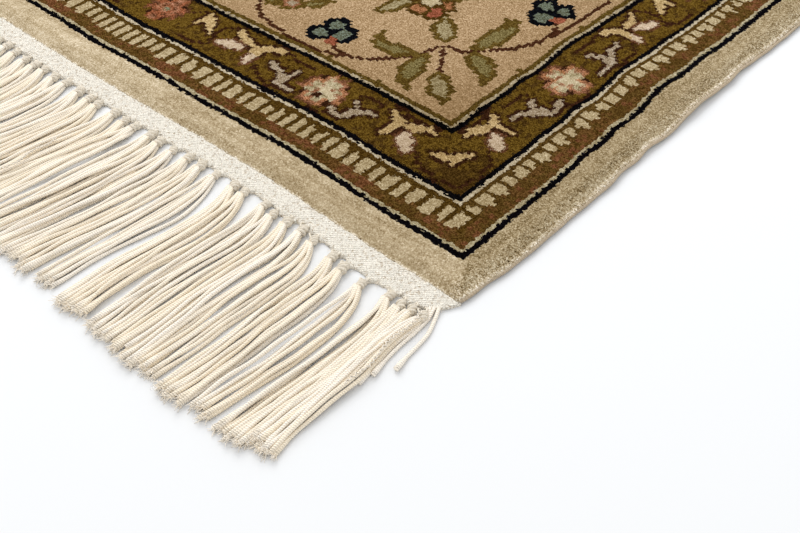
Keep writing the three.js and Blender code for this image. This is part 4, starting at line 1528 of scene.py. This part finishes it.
def fibre_group():
    """Wool or cotton fibre: a light and dark mask about 1, and a height, from two noises."""
    tree, given = new_group("fibre", {"Scale": 800.0, "Contrast": 0.3})
    place = object_place(tree)
    fine = noise(tree, place, given["Scale"], 3.0, roughness=0.6, distortion=0.4)
    clumps = noise(tree, place, given["Scale"] * 0.31, 2.0)
    shade = (fine - 0.5) * (given["Contrast"] * 4.0) + 1.0
    return close_group(tree, {"Shade": shade, "Height": fine * 0.65 + clumps * 0.35})


def line_force(dye):
    """How much a dye pushes its neighbours back: 1 for black, for moss and for the bars between
    the end tablets, less than none for the pale lines, which are the two dyes after black, and
    none for the others."""
    black, moss, bar = (dye.math("COMPARE", float(DYE_NUMBERS[name]), 0.3)
                        for name in ("black", "moss", "bar"))
    pale = dye.math("COMPARE", DYE_NUMBERS["black"] + 1.5, 0.8)
    return black + moss + bar - pale * 0.5


def dye_group():
    """The dye of a knot. The boundary between two knots strays with a fine noise: past half a
    knot from the middle of the cell, the neighbour's dye shows, and a ramp turns the dye's
    number into its colour. A line's dye spreads a little over its neighbours, by a chance
    share, and the boundaries of the worn dyes stray further, with a finer noise."""
    tree, given = new_group("knot dyes", {"Stray": 0.5})
    place = object_place(tree)
    parts = uv_place(tree, "knots")
    swayed = split(tree, noise(tree, place, 430.0, 1.5, output="Color"))
    fuzzed = split(tree, noise(tree, place, 1500.0, 1.0, output="Color"))
    own = attribute(tree, "dye")
    ground, rosette = (own.math("COMPARE", float(number), span) * blur
                       for number, span, blur in WORN_DYES)
    worn = ground + rosette
    strayed = []
    for part, sway, fuzz in zip(parts, swayed, fuzzed):
        push = (sway - 0.5) * given["Stray"] * 4.0
        strayed.append(part.math("FRACT") - 0.5 + push + (fuzz - 0.5) * worn)
    whole = {axis: part.math("FLOOR") for axis, part in enumerate(parts)}
    knot = {"Vector": Wire(node(tree, "ShaderNodeCombineXYZ", whole).outputs[0])}
    white = node(tree, "ShaderNodeTexWhiteNoise", knot, noise_dimensions="2D")
    chance = Wire(white.outputs["Value"])
    own_force = line_force(own)
    spread = chance.mapped(0.0, 1.0, -0.02, 0.30)
    picked = own
    beside = [("dye_right", 0, 1.0), ("dye_left", 0, -1.0)]
    beside += [("dye_back", 1, 1.0), ("dye_front", 1, -1.0)]
    for label, axis, sense in beside:
        other = attribute(tree, label)
        edge = (own_force - line_force(other)) * spread + 0.5
        picked = (strayed[axis] * sense).math("GREATER_THAN", edge).between(picked, other)
    ramp = node(tree, "ShaderNodeValToRGB", {0: (picked + 0.5) / float(len(DYES))})
    ramp.color_ramp.interpolation = "CONSTANT"
    stops = ramp.color_ramp.elements
    while len(stops) < len(DYES):
        stops.new(0.5)
    for number, rgb in enumerate(DYES.values()):
        stops[number].position = number / len(DYES)
        stops[number].color = (*(np.array(linear(rgb)[:3]) / LIGHT_ON_PILE), 1.0)
    colour = Wire(ramp.outputs["Color"])
    return close_group(tree, {"Color": colour, "Cell": chance, "U": strayed[0], "V": strayed[1]})


def thread_group():
    """Plied yarn: slanting grooves round a thread, from its UV map (round, length in metres)."""
    tree, given = new_group("plied yarn", {"Pitch": 1.1 * MM, "Starts": 2.0})
    around, along = uv_place(tree, "thread")
    ridge = (along / given["Pitch"] + around * given["Starts"]).wave()
    return close_group(tree, {"Ridge": ridge})


GROUPS = {"fibre": fibre_group, "knot dyes": dye_group, "plied yarn": thread_group}


def group_node(tree, name, values):
    """Places a shared node group, which is made at its first use, and returns its outputs."""
    group = bpy.data.node_groups.get(name) or GROUPS[name]()
    return wires_of(node(tree, "ShaderNodeGroup", values, node_tree=group))


def fibre(tree, scale, contrast):
    """Shade and height of the fibre at a scale."""
    return group_node(tree, "fibre", {"Scale": scale, "Contrast": contrast})


def new_material(name, roughness, sheen, sheen_tint, specular=0.25):
    """A material with a Principled shader whose constant values are set on its own sockets."""
    made = bpy.data.materials.new(name)
    made.use_nodes = True
    shader = made.node_tree.nodes["Principled BSDF"]
    shader.inputs["Roughness"].default_value = roughness
    shader.inputs["Specular IOR Level"].default_value = specular
    shader.inputs["Sheen Weight"].default_value = sheen
    shader.inputs["Sheen Roughness"].default_value = 0.5
    shader.inputs["Sheen Tint"].default_value = linear(sheen_tint)
    return made, made.node_tree


def cover(tree, colour, shade, height=None, distance=0.0, strength=1.0):
    """Gives a material's shader a colour darkened and brightened by a shade, and a bump."""
    shader = tree.nodes["Principled BSDF"]
    join(tree, tinted(tree, 1.0, colour, shade, "MULTIPLY"), shader.inputs["Base Color"])
    if height is not None:
        values = {"Height": height, "Distance": distance, "Strength": strength}
        join(tree, Wire(node(tree, "ShaderNodeBump", values).outputs[0]), shader.inputs["Normal"])


def pile_material():
    """Cut wool pile: the dyes of the chart, shaded by fibre, streaks along the plain band, slow
    clouds and each knot's own tone. Dark dyes are speckled more, as light sinks in between the
    tufts, and the pile next to the side cords is rougher, with bright curled tufts."""
    made, tree = new_material("cut wool pile", 1.0, 0.0, (235, 220, 195), specular=0.0)
    dyes = group_node(tree, "knot dyes", {"Stray": 0.34})
    fine, tufts = fibre(tree, 2300.0, 1.0), fibre(tree, 1050.0, 0.85)
    place = object_place(tree)
    cloud = noise(tree, place, 38.0, 2.0)
    curls = noise(tree, place, 420.0, 1.0, distortion=1.6)
    patch = noise(tree, place, 150.0, 2.0, roughness=0.7)
    names = ("coarse", "band", "along_side", "far", "rim")
    coarse, band, along_side, far, rim = (attribute(tree, name) for name in names)
    light = Wire(node(tree, "ShaderNodeRGBToBW", {0: dyes["Color"]}).outputs[0])
    depth = light.mapped(0.03, 0.35, 2.6, 0.62) + band * 0.05 + coarse * 0.45
    swing = ((fine["Shade"] + tufts["Shade"] - 2.0) * depth).math("MINIMUM", 1.2)
    shade = Wire(node(tree, "ShaderNodeMath", {0: 2.0, 1: swing}, operation="POWER").outputs[0])
    run, slow_run = (
        along_side.between(streaks(tree, place, fast, slow), streaks(tree, place, slow, fast))
        for fast, slow in ((300.0, 28.0), (120.0, 14.0))
    )
    run = run + (slow_run - 0.5) * 0.7
    shade = shade + (run - 0.5) * band.mapped(0.0, 1.0, 0.2, 0.85)
    # Painted light and shade from the far mask: the border's far parts, the band next to the web
    # and the walls are brightened, and the field's corners and its edges along the lines darkened.
    shade = shade * far.mapped(-2.0, 1.0, 0.6, 1.2)
    shade = shade * cloud.mapped(0.3, 0.7, 0.94, 1.05)
    shade = shade * dyes["Cell"].mapped(0.0, 1.0, 0.94, 1.05)
    shade = shade + patch.mapped(0.32, 0.68, -0.16, 0.12) * band
    curl = curls.mapped(0.53, 0.61, 0.0, 1.0) * coarse
    shade = shade + curl * 0.5 - curls.mapped(0.40, 0.46, 0.22, 0.0) * coarse
    # Painted light: the rim over a side cord and the walls are brightened, as they would lie in
    # shade.
    shade = shade * rim.mapped(0.0, 1.0, 1.0, 1.3)
    warmth = {number: shade.math("POWER", power) for number, power in enumerate(SHADE_POWERS)}
    warm_shade = Wire(node(tree, "ShaderNodeCombineColor", warmth).outputs[0])
    cover(tree, dyes["Color"], warm_shade, tufts["Height"] + curl * 0.6, 1.1 * MM, 0.8)
    return made


def back_material():
    """Back of the knots: the same dyes as crisp small lumps, with the cotton wefts between."""
    made, tree = new_material("knot backs", 0.9, 0.1, (235, 220, 195))
    dyes = group_node(tree, "knot dyes", {"Stray": 0.16})
    fuzz = fibre(tree, 1300.0, 0.22)
    across = (dyes["U"] * (2 * math.pi)).math("SINE").math("ABSOLUTE")
    along = dyes["V"].math("ABSOLUTE")
    weft = along.mapped(0.34, 0.48, 0.0, 1.0)
    colour = tinted(tree, weft, dyes["Color"], linear((196, 184, 160)))
    lump = along.mapped(0.0, 0.5, 1.0, 0.0) * across
    cover(tree, colour, fuzz["Shade"], lump + fuzz["Height"] * 0.3, 0.5 * MM)
    return made


def cord_material(colour):
    """Yarn wound closely round the edge: a groove between turns, darkened as painted shade, and a
    fibre shade.
    """
    made, tree = new_material("overcast yarn", 0.88, 0.25, (240, 225, 200))
    fuzz = fibre(tree, 1000.0, 0.26)
    around, along = uv_place(tree, "thread")
    ridge = (along + around).wave()
    # Painted shade in the grooves between the turns of the yarn.
    shade = fuzz["Shade"] * ridge.mapped(0.0, 0.6, 0.82, 1.0)
    cover(tree, (*colour, 1.0), shade, ridge + fuzz["Height"], 0.35 * MM)
    return made


def web_material(colour):
    """Plain weave of cotton: warps and wefts cross over and under, a wave in x times a wave in
    y, under a fuzz of fibre, with painted shade in the small gaps between the threads and
    painted tan flecks of shade."""
    made, tree = new_material("woven cotton web", 0.9, 0.2, (250, 245, 235))
    fuzz, specks = fibre(tree, 1100.0, 0.16), fibre(tree, 850.0, 1.0)
    place = object_place(tree)
    x, y = split(tree, place)
    sway = (noise(tree, place, 260.0, 1.0) - 0.5) * 3.2
    warp = (x * (math.pi / (0.95 * MM)) + sway).math("SINE")
    weft = (y * (math.pi / (0.8 * MM)) + sway).math("SINE")
    weave = warp * weft
    # Painted shade in the gaps between the threads.
    gap_shade = weave.math("ABSOLUTE").mapped(0.0, 0.30, 0.84, 1.03)
    # Painted shade: tan flecks in the hollows of the weave.
    fleck_shade = specks["Shade"].mapped(0.30, 0.85, 0.0, 1.0)
    cotton = tinted(tree, 1.0, (*colour, 1.0), fuzz["Shade"] * gap_shade, "MULTIPLY")
    flecked = tinted(tree, fleck_shade, linear((190, 170, 143)), cotton)
    cover(tree, flecked, (1.0, 1.0, 1.0, 1.0), weave * 0.4 + specks["Height"] * 2.0, 1.0 * MM)
    return made


def warp_material(warm, cool):
    """Two-ply cotton warps: slanting grooves darkened as painted shade, a warm or cool tone for
    each warp, fibre fuzz.
    """
    made, tree = new_material("plied cotton warps", 0.85, 0.15, (255, 250, 240))
    fuzz = fibre(tree, 1300.0, 0.10)
    ridge = group_node(tree, "plied yarn", {})["Ridge"]
    yarn = tinted(tree, attribute(tree, "tone"), (*warm, 1.0), (*cool, 1.0))
    # Painted shade in the grooves between the plies.
    shade = fuzz["Shade"] * ridge.mapped(0.0, 0.45, 0.81, 1.03)
    cover(tree, yarn, shade, ridge + fuzz["Height"] * 0.5, 0.3 * MM)
    return made


def fray_material():
    """Loose cotton hairs at the cut tips."""
    made, tree = new_material("frayed cotton", 0.9, 0.2, (255, 250, 240))
    tree.nodes["Principled BSDF"].inputs["Base Color"].default_value = linear((253, 243, 227))
    return made


def knot_material(colour):
    """Cotton of the overhand knots: finely grooved, and a little greyer than the free warps, which
    paints the shade of their crevices.
    """
    made, tree = new_material("knotted cotton", 0.9, 0.2, (250, 245, 235))
    fuzz = fibre(tree, 1100.0, 0.18)
    cover(tree, (*colour, 1.0), fuzz["Shade"], fuzz["Height"], 0.8 * MM)
    return made


def floor_material(colour):
    """Plain pale floor."""
    made, tree = new_material("pale floor", 0.9, 0.0, (255, 255, 255), specular=0.1)
    cloud = noise(tree, object_place(tree), 3.0, 2.0)
    cover(tree, (*colour, 1.0), cloud.mapped(0.3, 0.7, 0.99, 1.0))
    return made


def finish_piece(made, material, replaced=()):
    """Gives a piece its material and body, and hides the solids that it stands for."""
    made.data.materials.append(material)
    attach(made, "root")
    if replaced:
        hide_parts(*replaced)
    return made


class RugPileSettings(bpy.types.PropertyGroup):
    """Size of the pile."""

    height: bpy.props.FloatProperty(
        name="Pile height", description="Top of the cut pile over the floor",
        default=PILE_HEIGHT, min=0.002, max=0.02, subtype="DISTANCE", unit="LENGTH")


class RugCordSettings(bpy.types.PropertyGroup):
    """Size and colour of the side cords."""

    radius: bpy.props.FloatProperty(
        name="Cord radius", description="Half the thickness of an overcast side cord",
        default=CORD_RADIUS, min=0.0003, max=0.003, subtype="DISTANCE", unit="LENGTH")
    colour: bpy.props.FloatVectorProperty(
        name="Cord colour", description="Colour of the overcast yarn",
        default=linear((180, 162, 136))[:3], size=3, min=0, max=1, subtype="COLOR")


class RugFringeSettings(bpy.types.PropertyGroup):
    """Size and colours of the webs and the fringe."""

    warp_radius: bpy.props.FloatProperty(
        name="Warp radius", description="Half the thickness of one plied warp",
        default=STRAND_RADIUS, min=0.0003, max=0.003, subtype="DISTANCE", unit="LENGTH")
    warm: bpy.props.FloatVectorProperty(
        name="Warm warps", description="Colour of the warmest warps",
        default=linear((249, 234, 208))[:3], size=3, min=0, max=1, subtype="COLOR")
    cool: bpy.props.FloatVectorProperty(
        name="Cool warps", description="Colour of the coolest warps",
        default=linear((254, 244, 228))[:3], size=3, min=0, max=1, subtype="COLOR")
    # The knots' colour is greyer than the warps' as painted shade of their crevices.
    knots: bpy.props.FloatVectorProperty(
        name="Knots", description="Colour of the overhand knots",
        default=linear((225, 215, 197))[:3], size=3, min=0, max=1, subtype="COLOR")
    web: bpy.props.FloatVectorProperty(
        name="Webs", description="Colour of the woven webs",
        default=linear((249, 242, 227))[:3], size=3, min=0, max=1, subtype="COLOR")


class RugStageSettings(bpy.types.PropertyGroup):
    """Floor and light that a user would change."""

    floor_colour: bpy.props.FloatVectorProperty(
        name="Floor colour", description="Colour of the plain floor",
        default=(0.745, 0.75, 0.75), size=3, min=0, max=1, subtype="COLOR")
    key_power: bpy.props.FloatProperty(
        name="Key light", description="Power of the large soft light at the left",
        default=22.0, min=0, max=500, subtype="POWER", unit="POWER")
    sky: bpy.props.FloatProperty(
        name="Surround", description="Strength of the even light from all round",
        default=1.0, min=0, max=5)


class RUG_OT_fringe(bpy.types.Operator):
    """Lays the warps of both ends and ties their knots"""

    bl_idname = "rug.fringe"
    bl_label = "Warps and knots"

    def execute(self, context):
        wanted = context.scene.rug_fringe
        warps, knots = warp_material(wanted.warm, wanted.cool), knot_material(wanted.knots)
        frays = fray_material()
        for end in (-1, 1):
            finish_piece(strand_mesh(end, wanted.warp_radius), warps)
            finish_piece(knot_mesh(end), knots)
            finish_piece(fray_mesh(end, wanted.warp_radius), frays)
        finish_piece(kinked_mesh(), warps)
        return {"FINISHED"}


class RUG_OT_webs(bpy.types.Operator):
    """Weaves the web of each end"""

    bl_idname = "rug.webs"
    bl_label = "End webs"

    def execute(self, context):
        material = web_material(context.scene.rug_fringe.web)
        for end, label in ((-1, "front"), (1, "back")):
            made = finish_piece(web_mesh(end), material, [f"{label}_web_fringe"])
        return {"FINISHED"}


class RUG_OT_cords(bpy.types.Operator):
    """Overcasts the long sides"""

    bl_idname = "rug.cords"
    bl_label = "Side cords"

    def execute(self, context):
        wanted = context.scene.rug_cord
        material = cord_material(wanted.colour)
        for side, label in ((1, "right"), (-1, "left")):
            made = side_cord(side, wanted.radius)
            finish_piece(made, material, [f"side_cord_{label}"])
        return {"FINISHED"}


class RUG_OT_pile(bpy.types.Operator):
    """Knots the pile on its woven back"""

    bl_idname = "rug.pile"
    bl_label = "Pile and back"

    def execute(self, context):
        height = context.scene.rug_pile.height
        chart = whole_chart()[:, 1:-1]
        finish_piece(slab_of_knots("woven_back", chart, height, False), back_material())
        pile = slab_of_knots("cut_pile", chart, height, True)
        finish_piece(pile, pile_material(), ["knotted_pile"])
        return {"FINISHED"}


class RUG_OT_stage(bpy.types.Operator):
    """Sets the floor, the soft light and the camera"""

    bl_idname = "rug.stage"
    bl_label = "Floor, light and camera"

    def execute(self, context):
        settings = context.scene.rug_stage
        place_floor(settings.floor_colour)
        place_lights(settings.key_power, settings.sky)
        place_camera()
        context.scene.view_settings.view_transform = "Standard"
        return {"FINISHED"}


def place_floor(colour):
    """A flat square just under the rug."""
    corners = np.array([[-1, -1], [1, -1], [1, 1], [-1, 1]]) * FLOOR_HALF
    points = np.column_stack([corners, np.full(4, -FLOOR_DROP)])
    floor = build_mesh("floor", points, [np.arange(4)[None]], smooth=False)
    floor.data.materials.append(floor_material(tuple(colour)))


def place_lights(power, sky):
    """One large soft light at the left, and an even surround."""
    light = bpy.data.lights.new("key", "AREA")
    light.shape = "SQUARE"
    light.size = KEY_SIZE
    light.energy = power
    lamp = placed("key", light)
    aim = np.array(KEY_AIM) - np.array(KEY_PLACE)
    down = math.atan2(math.hypot(aim[0], aim[1]), -aim[2])
    lamp.location = KEY_PLACE
    lamp.rotation_euler = (down, 0, math.atan2(aim[1], aim[0]) - math.pi / 2)
    world = bpy.data.worlds.new("surround")
    world.use_nodes = True
    background = world.node_tree.nodes["Background"]
    background.inputs["Color"].default_value = (0.97, 0.98, 1.0, 1.0)
    background.inputs["Strength"].default_value = sky
    bpy.context.scene.world = world


def place_camera():
    """Camera at the photograph's viewing angle, turned, pitched down and rolled."""
    data = bpy.data.cameras.new("camera")
    data.lens = CAMERA_LENS
    data.sensor_width = SENSOR_WIDTH
    data.clip_start = 0.01
    camera = placed("camera", data)
    turn = Matrix.Rotation(CAMERA_TURN, 4, "Z")
    pitch = Matrix.Rotation(math.pi / 2 - CAMERA_PITCH, 4, "X")
    roll = Matrix.Rotation(CAMERA_ROLL, 4, "Z")
    place = (RUG_HALF_WIDTH + CAMERA_BEYOND_SIDE * CAMERA_HEIGHT,
             -PILE_HALF_LENGTH - CAMERA_BEYOND_END * CAMERA_HEIGHT, PILE_HEIGHT + CAMERA_HEIGHT)
    camera.matrix_world = Matrix.Translation(place) @ turn @ pitch @ roll
    bpy.context.scene.camera = camera


class VIEW3D_PT_rug(bpy.types.Panel):
    """Lists the rug's steps and settings"""

    bl_label = "Rug"
    bl_space_type = "VIEW_3D"
    bl_region_type = "UI"
    bl_category = "Rug"

    def draw(self, context):
        for step in STEPS:
            self.layout.operator(step.bl_idname)
        for name, group in SETTINGS.items():
            for setting in group.__annotations__:
                self.layout.prop(getattr(context.scene, name), setting)


STEPS = (RUG_OT_fringe, RUG_OT_webs, RUG_OT_cords, RUG_OT_pile, RUG_OT_stage)
SETTINGS = {
    "rug_pile": RugPileSettings,
    "rug_cord": RugCordSettings,
    "rug_fringe": RugFringeSettings,
    "rug_stage": RugStageSettings,
}
CLASSES = (*SETTINGS.values(), *STEPS, VIEW3D_PT_rug)


def register():
    """Registers the settings, the steps and the panel."""
    for made in CLASSES:
        bpy.utils.register_class(made)
    for name, group in SETTINGS.items():
        setattr(bpy.types.Scene, name, bpy.props.PointerProperty(type=group))


def unregister():
    """Takes them all out again."""
    for name in SETTINGS:
        delattr(bpy.types.Scene, name)
    for made in reversed(CLASSES):
        bpy.utils.unregister_class(made)


def main():
    """Runs the steps in order."""
    register()
    for step in STEPS:
        group, name = step.bl_idname.split(".")
        getattr(getattr(bpy.ops, group), name)()
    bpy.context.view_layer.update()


if __name__ == "__main__":
    main()
